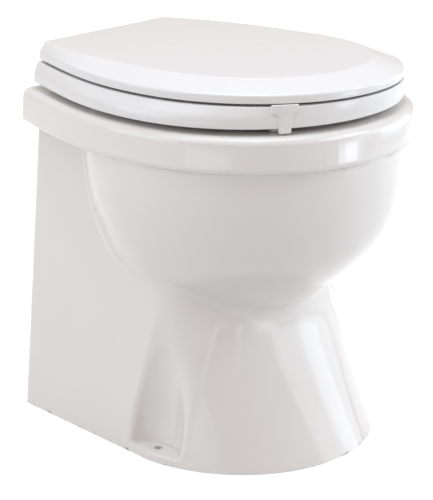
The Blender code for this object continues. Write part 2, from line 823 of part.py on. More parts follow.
def lift_tab():
    """The stick-on tab under the lid's edge that lifts the seat."""
    normal_turn = Matrix.Rotation(-TAB_ANGLE, 4, "Z")
    place = Matrix.Translation(seat_edge(TAB_ANGLE)) @ normal_turn
    top = LID_BOTTOM - GAP
    split = top - TAB_BLOCK_HEIGHT
    block = box(
        "seat_lift_tab", "seat_plastic",
        (-TAB_WIDTH / 2, -GAP - TAB_THICKNESS, split), (TAB_WIDTH / 2, -GAP, top), turn=place,
    )
    finger = box(
        "tab_finger", None,
        (-TAB_FINGER_WIDTH / 2, -GAP - TAB_THICKNESS, SEAT_BOTTOM - TAB_BELOW_SEAT),
        (TAB_FINGER_WIDTH / 2, -GAP, split + TAB_THICKNESS / 2), turn=place,
    )
    return join(block, finger)


def bumpers():
    """Soft pads: four under the seat, two under the lid."""
    seat_pads, lid_pads = [], []
    gap_height = SEAT_GAP - 2 * GAP
    half = SEAT_WIDTH / 2
    for side, name in ((-1, "left"), (1, "right")):
        for where, x, y in (
            ("front", half - FRONT_BUMPER_INSET, SEAT_FRONT + FRONT_BUMPER_BEHIND_EDGE),
            ("rear", half - REAR_BUMPER_INSET, WIDEST_Y + REAR_BUMPER_BEHIND_MIDDLE),
        ):
            seat_pads.append(
                cylinder(
                    f"seat_bumper_{where}_{name}", "clear_buffer", BUMPER, gap_height,
                    (side * x, y, RIM_HEIGHT + GAP), "Z", SMALL_SIDES,
                )
            )
        top = LID_TOP - LID_SHELL - GAP
        lid_pads.append(
            cylinder(
                f"lid_bumper_{name}", "clear_buffer", BUMPER, top - SEAT_TOP - GAP,
                (side * (half - LID_BUMPER_INSET), WIDEST_Y - LID_BUMPER_AHEAD, SEAT_TOP + GAP), "Z",
                SMALL_SIDES,
            )
        )
    return seat_pads, lid_pads


def hinges():
    """Each side: a post with its stud through the shelf, the pin, a washer and a wing nut below."""
    for side, name, middle, lid_lug, seat_lug in hinge_sides():
        x = side * middle
        foot_bottom = RIM_HEIGHT + GAP
        half = POST_THICKNESS / 2
        post = box(
            f"hinge_post_{name}", "hinge_plastic",
            (x - POST_FOOT_WIDTH / 2, STUD_Y - POST_FOOT_WIDTH / 2, foot_bottom),
            (x + POST_FOOT_WIDTH / 2, AXIS_Y + half + POST_FOOT_MARGIN, foot_bottom + POST_FOOT_THICKNESS),
        )
        stem = box(
            f"post_stem_{name}", None,
            (x - POST_WIDTH / 2, AXIS_Y - half, foot_bottom + POST_FOOT_MARGIN),
            (x + POST_WIDTH / 2, AXIS_Y + half, AXIS_Z),
        )
        barrel = cylinder(
            f"post_barrel_{name}", None, BARREL, POST_WIDTH, (x - POST_WIDTH / 2, AXIS_Y, AXIS_Z), "X"
        )
        stud = cylinder(
            f"post_stud_{name}", None, STUD, STUD_LENGTH + POST_FOOT_MARGIN,
            (x, STUD_Y, foot_bottom - STUD_LENGTH), "Z", SMALL_SIDES,
        )
        for piece in (stem, barrel, stud):
            join(post, piece)
        bore = cylinder(
            f"post_bore_{name}", None, PIN + 2 * GAP, POST_WIDTH + 2 * OVERRUN,
            (x - POST_WIDTH / 2 - OVERRUN, AXIS_Y, AXIS_Z), "X", SMALL_SIDES,
        )
        cut(post, bore)
        inner, outer = lid_lug - PIN_END, seat_lug + LUG_WIDTH + PIN_END
        cylinder(
            f"hinge_pin_{name}", "stainless", PIN, outer - inner,
            (min(side * inner, side * outer), AXIS_Y, AXIS_Z), "X", SMALL_SIDES,
        )
        shelf_under = RIM_HEIGHT - SHELF_THICKNESS
        washer_bottom = shelf_under - GAP - WASHER_THICKNESS
        tube_wall(
            f"hinge_washer_{name}", "black_rubber", WASHER, STUD + 2 * GAP, WASHER_THICKNESS,
            (x, STUD_Y, washer_bottom), "Z", SMALL_SIDES,
        )
        nut_bottom = washer_bottom - GAP - NUT_HEIGHT
        nut = cylinder(
            f"hinge_nut_{name}", "hinge_plastic", NUT_HUB, NUT_HEIGHT,
            (x, STUD_Y, nut_bottom), "Z", SMALL_SIDES,
        )
        wings = box(
            f"nut_wings_{name}", None,
            (x - NUT_SPAN / 2, STUD_Y - NUT_WING / 2, nut_bottom + GAP),
            (x + NUT_SPAN / 2, STUD_Y + NUT_WING / 2, nut_bottom + NUT_HEIGHT - NUT_WING / 2),
        )
        join(nut, wings)
        thread = cylinder(
            f"nut_thread_{name}", None, STUD + 2 * GAP, NUT_HEIGHT + 2 * OVERRUN,
            (x, STUD_Y, nut_bottom - OVERRUN), "Z", SMALL_SIDES,
        )
        cut(nut, thread)


def bent_rod(name, finish, diameter, start, corner, end, bend, sides=ROUND_SIDES, extra=0, barb=None):
    """A round rod from start to end with one rounded corner, and hose barbs at its end if asked."""
    start, corner, end = Vector(start), Vector(corner), Vector(end)
    first, second = (corner - start).normalized(), (end - corner).normalized()
    normal = first.cross(second)
    radius = diameter / 2
    stations = [(start - extra * first, first, radius)]
    centre = corner + bend * (second - first)
    for i in range(BEND_STEPS + 1):
        angle = math.radians(90) * i / BEND_STEPS
        along = math.cos(angle) * first + math.sin(angle) * second
        point = centre + bend * (math.sin(angle) * first - math.cos(angle) * second)
        stations.append((point, along, radius))
    if barb:
        rise, length = barb
        for i in range(BARBS, 0, -1):
            step = end - second * length * i
            stations += [(step, second, radius), (step, second, radius + rise)]
    stations.append((end + extra * second, second, radius))
    rings = []
    for point, along, reach in stations:
        up = along.cross(normal)
        turns = [2 * math.pi * i / sides for i in range(sides)]
        rings.append([point + reach * (math.cos(a) * normal + math.sin(a) * up) for a in turns])
    return loft(name, finish, rings)


def bent_tube(name, finish, outer, bore, start, corner, end, bend, sides=ROUND_SIDES, barb=None):
    made = bent_rod(name, finish, outer, start, corner, end, bend, sides, 0, barb)
    return made, bent_rod(f"{name}_bore", None, bore, start, corner, end, bend, sides, OVERRUN)


def outlet():
    """The rubber elbow from the bowl's spigot to the pump, with a band clamp at each end."""
    outer = OUTLET_OUTER + 2 * GAP + 2 * SLEEVE_WALL
    top = SPIGOT_BOTTOM + SLEEVE_GRIP
    made, bore = bent_tube(
        "outlet_elbow", "black_rubber", outer, OUTLET_OUTER + 2 * GAP,
        (0, OUTLET_Y, top), (0, OUTLET_Y, PUMP_HEIGHT), (0, INLET_START + SLEEVE_GRIP, PUMP_HEIGHT),
        SLEEVE_BEND,
    )
    cut(made, bore)
    inner = outer + 2 * GAP
    back = CLAMP_WIDTH + CLAMP_SETBACK
    places = (
        ("upper", (0, OUTLET_Y, top - back), "Z", (0, 1, 0)),
        ("lower", (0, INLET_START + SLEEVE_GRIP - back, PUMP_HEIGHT), "Y", (0, 0, 1)),
    )
    for label, start, along, out in places:
        band = cylinder(
            f"outlet_clamp_{label}", "stainless", inner + 2 * CLAMP_THICKNESS, CLAMP_WIDTH, start, along
        )
        middle = Vector(start) + (TURNS[along] @ Vector((0, 0, 1))) * CLAMP_WIDTH / 2
        middle += Vector(out) * (inner / 2 + CLAMP_THICKNESS + CLAMP_BLOCK / 4)
        size = Vector((CLAMP_BLOCK, CLAMP_BLOCK, CLAMP_BLOCK)) / 2
        size[{"Z": 2, "Y": 1}[along]] = CLAMP_WIDTH / 2 - GAP
        block = box(f"clamp_block_{label}", None, middle - size, middle + size)
        join(band, block)
        hole = cylinder(
            f"clamp_hole_{label}", None, inner, CLAMP_WIDTH + 2 * OVERRUN,
            Vector(start) - (TURNS[along] @ Vector((0, 0, 1))) * OVERRUN, along,
        )
        cut(band, hole)


def spread(count, circle, turn=0):
    """Points round the pump's axis, as offsets in X and Z."""
    for i in range(count):
        angle = turn + 2 * math.pi * i / count
        yield i + 1, circle / 2 * math.cos(angle), circle / 2 * math.sin(angle)


def screw(name, start, direction, length, finish="stainless"):
    """A pan-head screw: the head stands at start, and the shank runs along +Y, -X or -Z."""
    turns = {"Y": TURNS["Y"], "-X": Matrix.Rotation(math.radians(-90), 4, "Y"),
             "-Z": Matrix.Rotation(math.radians(180), 4, "X")}
    profile = [
        (0, SCREW_HEAD_HEIGHT + length),
        (SCREW / 2, SCREW_HEAD_HEIGHT + length),
        (SCREW / 2, SCREW_HEAD_HEIGHT),
        (SCREW_HEAD / 2, SCREW_HEAD_HEIGHT),
        (SCREW_HEAD / 2, SCREW_HEAD_HEIGHT * EDGE_TURN_share),
        (SCREW_HEAD / 2 - SCREW_HEAD_HEIGHT * EDGE_TURN_share, 0),
        (0, 0),
    ]
    made = turned(name, finish, profile, (0, 0, 0), "Z", SCREW_SIDES)
    made.matrix_world = Matrix.Translation(start) @ turns[direction]
    return made


def macerator():
    """The chamber under the bowl with its cover, screws, seal and discharge port."""
    radius = FLANGE / 2
    cover = turned(
        "macerator_cover", "pump_plastic",
        [
            (radius, INLET_LENGTH + COVER_THICKNESS), (radius, INLET_LENGTH),
            (OUTLET_OUTER / 2, INLET_LENGTH), (OUTLET_OUTER / 2, 0),
            (OUTLET_BORE / 2, 0), (OUTLET_BORE / 2, INLET_LENGTH + COVER_THICKNESS),
        ],
        (0, INLET_START, PUMP_HEIGHT), "Y",
    )
    seal_hole = SEAL_OUTER / 2 + GAP
    cavity_end = CHAMBER_LENGTH - CHAMBER_BACK
    inner = CHAMBER / 2 - CHAMBER_WALL
    housing = turned(
        "macerator_housing", "pump_plastic",
        [
            (CHAMBER / 2, CHAMBER_LENGTH), (CHAMBER / 2, FLANGE_THICKNESS), (radius, FLANGE_THICKNESS),
            (radius, 0), (inner, 0), (inner, cavity_end), (seal_hole, cavity_end),
            (seal_hole, CHAMBER_LENGTH),
        ],
        (0, CHAMBER_Y, PUMP_HEIGHT), "Y",
    )
    wall_x = inner + CHAMBER_WALL / 2
    port = cylinder("port", None, PORT, PORT_REACH - wall_x, (wall_x, PORT_Y, PUMP_HEIGHT), "X")
    flange = cylinder(
        "port_flange", None, PORT_FLANGE, PORT_FLANGE_THICKNESS,
        (PORT_REACH - PORT_FLANGE_THICKNESS, PORT_Y, PUMP_HEIGHT), "X",
    )
    join(port, flange)
    join(housing, port)
    bore_start = (inner - CHAMBER_WALL, PORT_Y, PUMP_HEIGHT)
    cut(housing, cylinder("port_bore", None, PORT_BORE, CHAMBER / 2, bore_start, "X"))
    hole = SCREW + SCREW_CLEARANCE
    for number, x, z in spread(COVER_SCREWS, SCREW_CIRCLE, math.radians(45)):
        place = (x, COVER_Y - OVERRUN, PUMP_HEIGHT + z)
        length = COVER_THICKNESS + FLANGE_THICKNESS + 2 * OVERRUN
        drill = cylinder(f"cover_screw_hole_{number}", None, hole, length, place, "Y", SCREW_SIDES)
        cut(cover, drill)
        cut(housing, drill)
        head_start = (x, COVER_Y - GAP - SCREW_HEAD_HEIGHT, PUMP_HEIGHT + z)
        shank = COVER_THICKNESS + FLANGE_THICKNESS + SCREW
        screw(f"cover_screw_{number}", head_start, "Y", shank)
    tube_wall(
        "shaft_seal", "black_rubber", SEAL_OUTER, SHAFT + 2 * GAP, CHAMBER_BACK - GAP,
        (0, CHAMBER_Y + cavity_end, PUMP_HEIGHT), "Y", SMALL_SIDES,
    )
    return housing


def discharge(housing):
    """The one-way valve at the port and the elbow that takes the discharge hose."""
    joker_x = PORT_REACH + GAP
    start = (joker_x, PORT_Y, PUMP_HEIGHT)
    end = JOKER_THICKNESS + JOKER_LENGTH
    joker = turned(
        "joker_valve", "black_rubber",
        [
            (JOKER_MOUTH / 2, end), (JOKER_OUTER / 2, JOKER_THICKNESS), (PORT_FLANGE / 2, JOKER_THICKNESS),
            (PORT_FLANGE / 2, 0), (JOKER_OUTER / 2 - JOKER_WALL, 0), (JOKER_MOUTH / 2 - JOKER_WALL, end),
        ],
        start, "X",
    )
    face_x = joker_x + JOKER_THICKNESS + GAP
    end_y = REAR_Y - ELBOW_END_MARGIN
    elbow, bore = bent_tube(
        "discharge_elbow", "pump_plastic", ELBOW, ELBOW_BORE,
        (face_x, PORT_Y, PUMP_HEIGHT), (ELBOW_X, PORT_Y, PUMP_HEIGHT), (ELBOW_X, end_y, PUMP_HEIGHT),
        ELBOW_BEND, SMALL_SIDES, (BARB_RISE, BARB_LENGTH),
    )
    flange = cylinder(
        "elbow_flange", None, PORT_FLANGE, PORT_FLANGE_THICKNESS, (face_x, PORT_Y, PUMP_HEIGHT), "X"
    )
    join(elbow, flange)
    cut(elbow, bore)
    for sign, name in ((1, "upper"), (-1, "lower")):
        z = PUMP_HEIGHT + sign * ELBOW_SCREW_SPREAD / 2
        far = face_x + PORT_FLANGE_THICKNESS
        drill = cylinder(
            f"elbow_screw_hole_{name}", None, SCREW + SCREW_CLEARANCE, far - CHAMBER / 2 + OVERRUN,
            (CHAMBER / 2, PORT_Y, z), "X", SCREW_SIDES,
        )
        for piece in (housing, joker, elbow):
            cut(piece, drill)
        shank = far - PORT_REACH + PORT_FLANGE_THICKNESS + GAP + SCREW / 2
        screw(f"elbow_screw_{name}", (far + GAP + SCREW_HEAD_HEIGHT, PORT_Y, z), "-X", shank)


def extruded(name, finish, outline, start_y, length):
    """A plate of one outline in X and Z, drawn out along +Y."""
    return loft(name, finish, [[(x, y, z) for x, z in outline] for y in (start_y, start_y + length)])


def arc(radius, first, last, steps):
    for i in range(steps + 1):
        angle = first + (last - first) * i / steps
        yield radius * math.cos(angle), PUMP_HEIGHT + radius * math.sin(angle)


def motor():
    """The motor's still parts: the can, its end cap, bearings, magnets and cable gland."""
    radius, bearing_hole = MOTOR / 2, BEARING / 2 + GAP
    inner = radius - MOTOR_WALL
    turned(
        "motor_can", "motor_paint",
        [
            (radius, MOTOR_LENGTH), (radius, 0), (bearing_hole, 0), (bearing_hole, MOTOR_FRONT),
            (inner, MOTOR_FRONT), (inner, MOTOR_LENGTH),
        ],
        (0, MOTOR_Y, PUMP_HEIGHT), "Y",
    )
    pocket = BEARING_WIDTH + GAP
    cap = turned(
        "motor_end_cap", "motor_paint",
        [
            (0, END_CAP_LENGTH), (radius - MOTOR_WALL, END_CAP_LENGTH),
            (radius, END_CAP_LENGTH - MOTOR_WALL), (radius, 0), (bearing_hole, 0),
            (bearing_hole, pocket), (0, pocket),
        ],
        (0, END_CAP_Y, PUMP_HEIGHT), "Y",
    )
    gland_start = END_CAP_Y + END_CAP_LENGTH + GAP
    cut(
        cap,
        cylinder(
            "gland_hole", None, GLAND_HOLE, END_CAP_LENGTH + 2 * OVERRUN,
            (GLAND_OFFSET, END_CAP_Y - OVERRUN, PUMP_HEIGHT), "Y", SMALL_SIDES,
        ),
    )
    turned(
        "cable_gland", "pump_plastic",
        [
            (GLAND / 2 - BARB_RISE, GLAND_LENGTH), (GLAND / 2, GLAND_LENGTH - BARB_RISE), (GLAND / 2, 0),
            (GLAND_HOLE / 2, 0), (GLAND_HOLE / 2, GLAND_LENGTH),
        ],
        (GLAND_OFFSET, gland_start, PUMP_HEIGHT), "Y", SMALL_SIDES,
    )
    for name, start in (
        ("front_bearing", MOTOR_Y + MOTOR_FRONT - BEARING_WIDTH),
        ("rear_bearing", END_CAP_Y),
    ):
        tube_wall(
            name, "stainless", BEARING, SHAFT + 2 * GAP, BEARING_WIDTH,
            (0, start, PUMP_HEIGHT), "Y", SMALL_SIDES,
        )
    magnet_outer = inner - GAP
    magnet_start = MOTOR_Y + MOTOR_FRONT + (MOTOR_LENGTH - MOTOR_FRONT - MAGNET_LENGTH) / 2
    for name, middle in (("field_magnet_left", math.pi), ("field_magnet_right", 0)):
        first, last = middle - MAGNET_SWEEP / 2, middle + MAGNET_SWEEP / 2
        outline = list(arc(magnet_outer, first, last, ROUND_SIDES // 3))
        outline += list(arc(magnet_outer - MAGNET_THICKNESS, last, first, ROUND_SIDES // 3))
        extruded(name, "steel_laminate", outline, magnet_start, MAGNET_LENGTH)
    return magnet_start


def rotor(magnet_start):
    """What turns: the shaft with its armature and commutator, the impeller and the chopper."""
    axis = joint_axis("pump_axis", (0, MOTOR_Y, PUMP_HEIGHT))
    shaft_start = CHAMBER_Y + GAP + SHAFT / 2
    shaft_end = END_CAP_Y + BEARING_WIDTH
    shaft = cylinder(
        "motor_shaft", "stainless", SHAFT, shaft_end - shaft_start,
        (0, shaft_start, PUMP_HEIGHT), "Y", SMALL_SIDES,
    )
    fit = SHAFT + 2 * GAP
    chopper_y = shaft_start + CHOPPER_THICKNESS / 2
    chopper = box(
        "chopper_blade", "stainless",
        (-CHOPPER_LENGTH / 2, chopper_y, PUMP_HEIGHT - CHOPPER_WIDTH / 2),
        (CHOPPER_LENGTH / 2, chopper_y + CHOPPER_THICKNESS, PUMP_HEIGHT + CHOPPER_WIDTH / 2),
    )
    disc_y = CHAMBER_Y + CHAMBER_LENGTH - CHAMBER_BACK - IMPELLER_THICKNESS - CHOPPER_THICKNESS
    impeller = cylinder(
        "impeller", "pump_plastic", IMPELLER, CHOPPER_THICKNESS,
        (0, disc_y + IMPELLER_THICKNESS - CHOPPER_THICKNESS, PUMP_HEIGHT), "Y",
    )
    hub = cylinder(
        "impeller_hub", None, IMPELLER_HUB, IMPELLER_THICKNESS - GAP,
        (0, disc_y, PUMP_HEIGHT), "Y", SMALL_SIDES,
    )
    join(impeller, hub)
    reach = IMPELLER / 2 - VANE_THICKNESS
    for number in range(IMPELLER_VANES):
        turn = Matrix.Translation((0, 0, PUMP_HEIGHT)) @ Matrix.Rotation(
            2 * math.pi * number / IMPELLER_VANES, 4, "Y"
        )
        vane = box(
            f"vane_{number + 1}", None,
            (IMPELLER_HUB / 2 - VANE_THICKNESS, disc_y + GAP, -VANE_THICKNESS / 2),
            (reach, disc_y + IMPELLER_THICKNESS - CHOPPER_THICKNESS / 2, VANE_THICKNESS / 2),
            turn=turn,
        )
        join(impeller, vane)
    bore = cylinder(
        "rotor_bore", None, fit, CHAMBER_LENGTH + OVERRUN,
        (0, CHAMBER_Y - OVERRUN, PUMP_HEIGHT), "Y", SMALL_SIDES,
    )
    cut(impeller, bore)
    cut(chopper, bore)
    armature_y = magnet_start + (MAGNET_LENGTH - ARMATURE_LENGTH) / 2
    armature = tube_wall(
        "armature", "steel_laminate", ARMATURE, fit, ARMATURE_LENGTH, (0, armature_y, PUMP_HEIGHT), "Y"
    )
    commutator = tube_wall(
        "commutator", "bronze", COMMUTATOR, fit, COMMUTATOR_LENGTH,
        (0, armature_y + ARMATURE_LENGTH + GAP, PUMP_HEIGHT), "Y", SMALL_SIDES,
    )
    bpy.context.view_layer.update()
    carry(axis, shaft, chopper, impeller, armature, commutator)


def pump_base():
    """The plate under the motor with its saddles and feet, and the two straps with their screws."""
    bottom = FOOT_PAD_HEIGHT + GAP
    top = bottom + BASE_THICKNESS
    first, last = MOTOR_Y + BASE_MARGIN, MOTOR_Y + MOTOR_LENGTH - BASE_MARGIN
    half = BASE_WIDTH / 2
    plate = box("pump_base_plate", "base_plastic", (-half, first, bottom), (half, last, top))
    middle = (first + last) / 2
    strap_inner = MOTOR / 2 + GAP
    strap_outer = strap_inner + STRAP_THICKNESS
    ear = strap_outer + STRAP_EAR
    for sign, name in ((-1, "front"), (1, "rear")):
        y = middle + sign * SADDLE_SPREAD / 2
        saddle = box(
            f"saddle_{name}", None,
            (-SADDLE_WIDTH / 2, y - SADDLE_LENGTH / 2, top - BASE_THICKNESS / 2),
            (SADDLE_WIDTH / 2, y + SADDLE_LENGTH / 2, top + SADDLE_RISE),
        )
        join(plate, saddle)
        ear_bottom = top + GAP
        outline = [(ear, ear_bottom), (ear, ear_bottom + STRAP_THICKNESS)]
        outline += [(strap_outer, ear_bottom + STRAP_THICKNESS)]
        outline += list(arc(strap_outer, 0, math.pi, ROUND_SIDES // 2))
        outline += [(-strap_outer, ear_bottom + STRAP_THICKNESS), (-ear, ear_bottom + STRAP_THICKNESS)]
        outline += [(-ear, ear_bottom), (-strap_inner, ear_bottom)]
        outline += list(arc(strap_inner, math.pi, 0, ROUND_SIDES // 2))
        outline += [(strap_inner, ear_bottom)]
        strap = extruded(f"motor_strap_{name}", "stainless", outline, y - STRAP_WIDTH / 2, STRAP_WIDTH)
        for side, where in ((-1, "left"), (1, "right")):
            x = side * (ear - STRAP_EAR / 2)
            drill = cylinder(
                f"strap_screw_hole_{name}_{where}", None, SCREW + SCREW_CLEARANCE,
                BASE_THICKNESS + 3 * OVERRUN, (x, y, bottom - OVERRUN), "Z", SCREW_SIDES,
            )
            cut(strap, drill)
            cut(plate, drill)
            head_top = ear_bottom + STRAP_THICKNESS + GAP + SCREW_HEAD_HEIGHT
            screw(f"strap_screw_{name}_{where}", (x, y, head_top), "-Z", STRAP_SCREW_LENGTH)
    saddle_cut = cylinder(
        "saddle_cut", None, MOTOR + 2 * GAP, last - first + 2 * OVERRUN,
        (0, first - OVERRUN, PUMP_HEIGHT), "Y",
    )
    cut(plate, saddle_cut)
    for x_side, x_name in ((-1, "left"), (1, "right")):
        for y, y_name in ((first + FOOT_PAD_INSET, "front"), (last - FOOT_PAD_INSET, "rear")):
            cylinder(
                f"base_foot_{y_name}_{x_name}", "black_rubber", FOOT_PAD, FOOT_PAD_HEIGHT,
                (x_side * (half - FOOT_PAD_INSET), y, 0), "Z", SMALL_SIDES,
            )


def rinse():
    """The elbow that brings the rinse water through the back of the bowl, with its seal."""
    boss_end = WIDEST_Y + BOWL_REAR_REACH + RINSE_BOSS_LENGTH
    start = (0, boss_end - RINSE_BOSS_LENGTH - GAP, RINSE_HEIGHT)
    corner_y = boss_end + RINSE_COLLAR_THICKNESS + RINSE_BEND
    end = (0, corner_y, RINSE_HEIGHT - RINSE_DROP)
    elbow, bore = bent_tube(
        "rinse_elbow", "pump_plastic", RINSE_TUBE, RINSE_TUBE_BORE,
        start, (0, corner_y, RINSE_HEIGHT), end, RINSE_BEND, SMALL_SIDES,
        (RINSE_BARB_RISE, RINSE_BARB_LENGTH),
    )
    collar = cylinder(
        "rinse_collar", None, RINSE_COLLAR, RINSE_COLLAR_THICKNESS,
        (0, boss_end + GAP, RINSE_HEIGHT), "Y", SMALL_SIDES,
    )
    join(elbow, collar)
    cut(elbow, bore)
    tube_wall(
        "rinse_seal", "black_rubber", RINSE_BORE - 2 * GAP, RINSE_TUBE + 2 * GAP, RINSE_BOSS_LENGTH,
        (0, boss_end - RINSE_BOSS_LENGTH, RINSE_HEIGHT), "Y", SMALL_SIDES,
    )


def main():
    global PARTS, CUTTERS
    clear_scene()
    PARTS = new_collection("electric_marine_toilet")
    CUTTERS = new_collection("cutters")
    CUTTERS.hide_render = True
    china()
    seat_ring, tab, cover = seat(), lift_tab(), lid()
    seat_pads, lid_pads = bumpers()
    hinges()
    seat_axis = joint_axis("seat_axis", (0, AXIS_Y, AXIS_Z))
    lid_axis = joint_axis("lid_axis", (0, AXIS_Y, AXIS_Z))
    bpy.context.view_layer.update()
    carry(seat_axis, seat_ring, tab, *seat_pads)
    carry(lid_axis, cover, *lid_pads)
    outlet()
    discharge(macerator())
    rotor(motor())
    pump_base()
    rinse()


main()
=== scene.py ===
"""Looks of the electric marine toilet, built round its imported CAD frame.

Everything is in metres in the frame's own axes: +Z up, the front towards -Y.
"""

import json
import math

import bmesh
import bpy
import numpy as np
from mathutils import Matrix, Vector


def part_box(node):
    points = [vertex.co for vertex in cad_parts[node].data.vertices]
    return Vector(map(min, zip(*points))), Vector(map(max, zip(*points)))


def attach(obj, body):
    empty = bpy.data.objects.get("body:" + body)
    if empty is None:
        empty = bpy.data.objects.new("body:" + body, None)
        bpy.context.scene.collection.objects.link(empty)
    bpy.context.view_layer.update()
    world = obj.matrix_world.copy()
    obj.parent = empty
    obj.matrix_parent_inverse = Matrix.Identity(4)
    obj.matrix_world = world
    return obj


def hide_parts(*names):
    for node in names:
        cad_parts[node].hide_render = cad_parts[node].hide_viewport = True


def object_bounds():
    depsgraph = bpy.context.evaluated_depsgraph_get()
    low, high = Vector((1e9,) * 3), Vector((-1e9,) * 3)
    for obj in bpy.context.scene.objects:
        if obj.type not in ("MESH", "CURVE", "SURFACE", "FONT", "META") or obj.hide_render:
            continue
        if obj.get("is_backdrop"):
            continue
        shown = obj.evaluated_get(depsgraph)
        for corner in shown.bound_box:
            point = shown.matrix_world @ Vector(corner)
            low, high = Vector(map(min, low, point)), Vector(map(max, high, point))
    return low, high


bl_info = {
    "name": "Marine toilet looks",
    "version": (1, 0, 0),
    "blender": (4, 5, 0),
    "location": "View3D > Sidebar > Toilet",
    "description": "Builds the glazed china, seat, lid and pump round the CAD frame",
    "category": "Object",
}

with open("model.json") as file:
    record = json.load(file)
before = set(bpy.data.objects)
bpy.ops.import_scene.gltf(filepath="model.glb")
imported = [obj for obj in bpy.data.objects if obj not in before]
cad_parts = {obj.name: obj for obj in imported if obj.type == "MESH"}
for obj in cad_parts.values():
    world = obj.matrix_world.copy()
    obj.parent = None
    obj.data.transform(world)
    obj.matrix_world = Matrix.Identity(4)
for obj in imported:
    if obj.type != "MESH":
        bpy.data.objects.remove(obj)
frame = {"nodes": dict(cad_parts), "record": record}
CAD_BOX = [list(corner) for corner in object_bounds()]
NODE_BOXES = {name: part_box(name) for name in frame["nodes"]}
MM = 0.001
FARTHEST = 10.0
# Clearance between pieces that touch, how far a cutter passes its piece, and radii of holes.
GAP = 0.0003
OVERRUN = 0.006
SCREW_HOLE = 0.0021
PIN_BORE = 0.0033
STUD_BORE = 0.0043
# Below the first height a point belongs to the sole. At the second the wall's slope is read.
ON_FLOOR = 0.0004
NEAR_FLOOR = 0.004


def low(node):
    return NODE_BOXES[node][0]


def high(node):
    return NODE_BOXES[node][1]


def middle(node):
    return (low(node) + high(node)) / 2


def length_setting(name, default, description, least=0.0):
    return bpy.props.FloatProperty(
        name=name, description=description, default=default, min=least, unit="LENGTH", precision=4
    )


def colour_setting(name, default, description):
    return bpy.props.FloatVectorProperty(
        name=name, description=description, default=default, size=3, subtype="COLOR", min=0.0, max=1.0
    )


def share_setting(name, default, description):
    return bpy.props.FloatProperty(
        name=name, description=description, default=default, min=0.0, max=1.0, subtype="FACTOR"
    )


def angle_setting(name, degrees, description):
    return bpy.props.FloatProperty(
        name=name, description=description, default=math.radians(degrees), subtype="ANGLE"
    )


class ToiletChina(bpy.types.PropertyGroup):
    """Sizes and colour of the glazed casting."""

    band_height: length_setting("Band height", 35.5 * MM, "Height of the rim band")
    band_overhang: length_setting("Band overhang", 4.5 * MM, "How far the band stands out from the bowl")
    band_round: length_setting("Band rounding", 8.0 * MM, "Radius of the band's upper edge")
    band_foot_round: length_setting("Band foot rounding", 4.5 * MM, "Radius of the band's lower edge")
    crease: length_setting("Crease", 3.5 * MM, "Radius where the bowl meets the side walls")
    soft_crease: length_setting("Soft crease", 19.0 * MM, "Radius where the bowl meets the neck in front")
    band_swell: length_setting("Band swell", 2.4 * MM, "How far the band's face draws in to its top")
    recess_round: length_setting("Recess rounding", 3.2 * MM, "Radius of the recess's rear edge")
    recess_ease: length_setting("Recess easing", 7.0 * MM, "Radius of the recess's front edge")
    groove: length_setting("Groove", 1.6 * MM, "Depth of the shallow groove beside the front facet")
    facet: length_setting("Facet", 1.0 * MM, "How far the front facet stands out at its far side")
    shelf_corner: length_setting("Shelf corner", 10.0 * MM, "Radius of the shelf's rear corners")
    wall_corner: length_setting("Wall corner", 7.0 * MM, "Radius of the side walls' rear edges")
    bowl_depth: length_setting("Bowl depth", 180.0 * MM, "Height of the bowl's rounded part")
    bowl_shoulder: length_setting("Bowl shoulder", 300.0 * MM, "Height at which the bowl stops widening")
    neck_height: length_setting("Neck height", 130.0 * MM, "Height of the narrowest place in front")
    neck_reach: length_setting("Neck reach", 78.0 * MM, "Reach of the neck before the widest line")
    neck_head: length_setting("Neck head", 56.0 * MM, "Reach of the neck where it ends under the bowl")
    foot_reach: length_setting("Foot reach", 144.0 * MM, "Reach of the foot before the widest line")
    lean: length_setting("Lean", 20.0 * MM, "How far each side wall leans in over its height")
    rear_lean: length_setting("Rear lean", 14.0 * MM, "How far the rear edge leans forward")
    wall: length_setting("Wall", 10.0 * MM, "Thickness of the china")
    lip_width: length_setting("Lip width", 40.0 * MM, "Width of the rim's flat top")
    lip_round: length_setting("Lip rounding", 5.0 * MM, "Radius of the rim's inner edge")
    foot_edge: length_setting("Foot edge", 0.8 * MM, "Radius of the edge that stands on the floor")
    colour: colour_setting("Glaze", (0.860, 0.843, 0.832), "Colour of the glaze")
    gloss: share_setting("Roughness", 0.10, "Roughness of the glaze")


class ToiletSeat(bpy.types.PropertyGroup):
    """Sizes and colour of the seat and lid."""

    edge_round: length_setting("Edge rounding", 1.6 * MM, "Radius of the seat's upper edge")
    foot_round: length_setting("Lower edge rounding", 2.5 * MM, "Radius of the seat's lower edge")
    lid_round: length_setting("Lid rounding", 0.8 * MM, "Radius of the lid's lower edge")
    crown: length_setting("Crown", 0.6 * MM, "How far the lid's top swells")
    colour: colour_setting("Seat plastic", (0.870, 0.870, 0.868), "Colour of the seat and lid")
    gloss: share_setting("Roughness", 0.16, "Roughness of the seat and lid")


class ToiletPump(bpy.types.PropertyGroup):
    """Colours of the pump set in the foot."""

    plastic: colour_setting("Pump plastic", (0.045, 0.046, 0.050), "Colour of the moulded pump parts")
    rubber: colour_setting("Rubber", (0.022, 0.022, 0.023), "Colour of the rubber parts")
    paint: colour_setting("Motor paint", (0.055, 0.062, 0.070), "Colour of the motor's paint")
    steel: colour_setting("Stainless steel", (0.560, 0.560, 0.565), "Colour of the bands and screws")


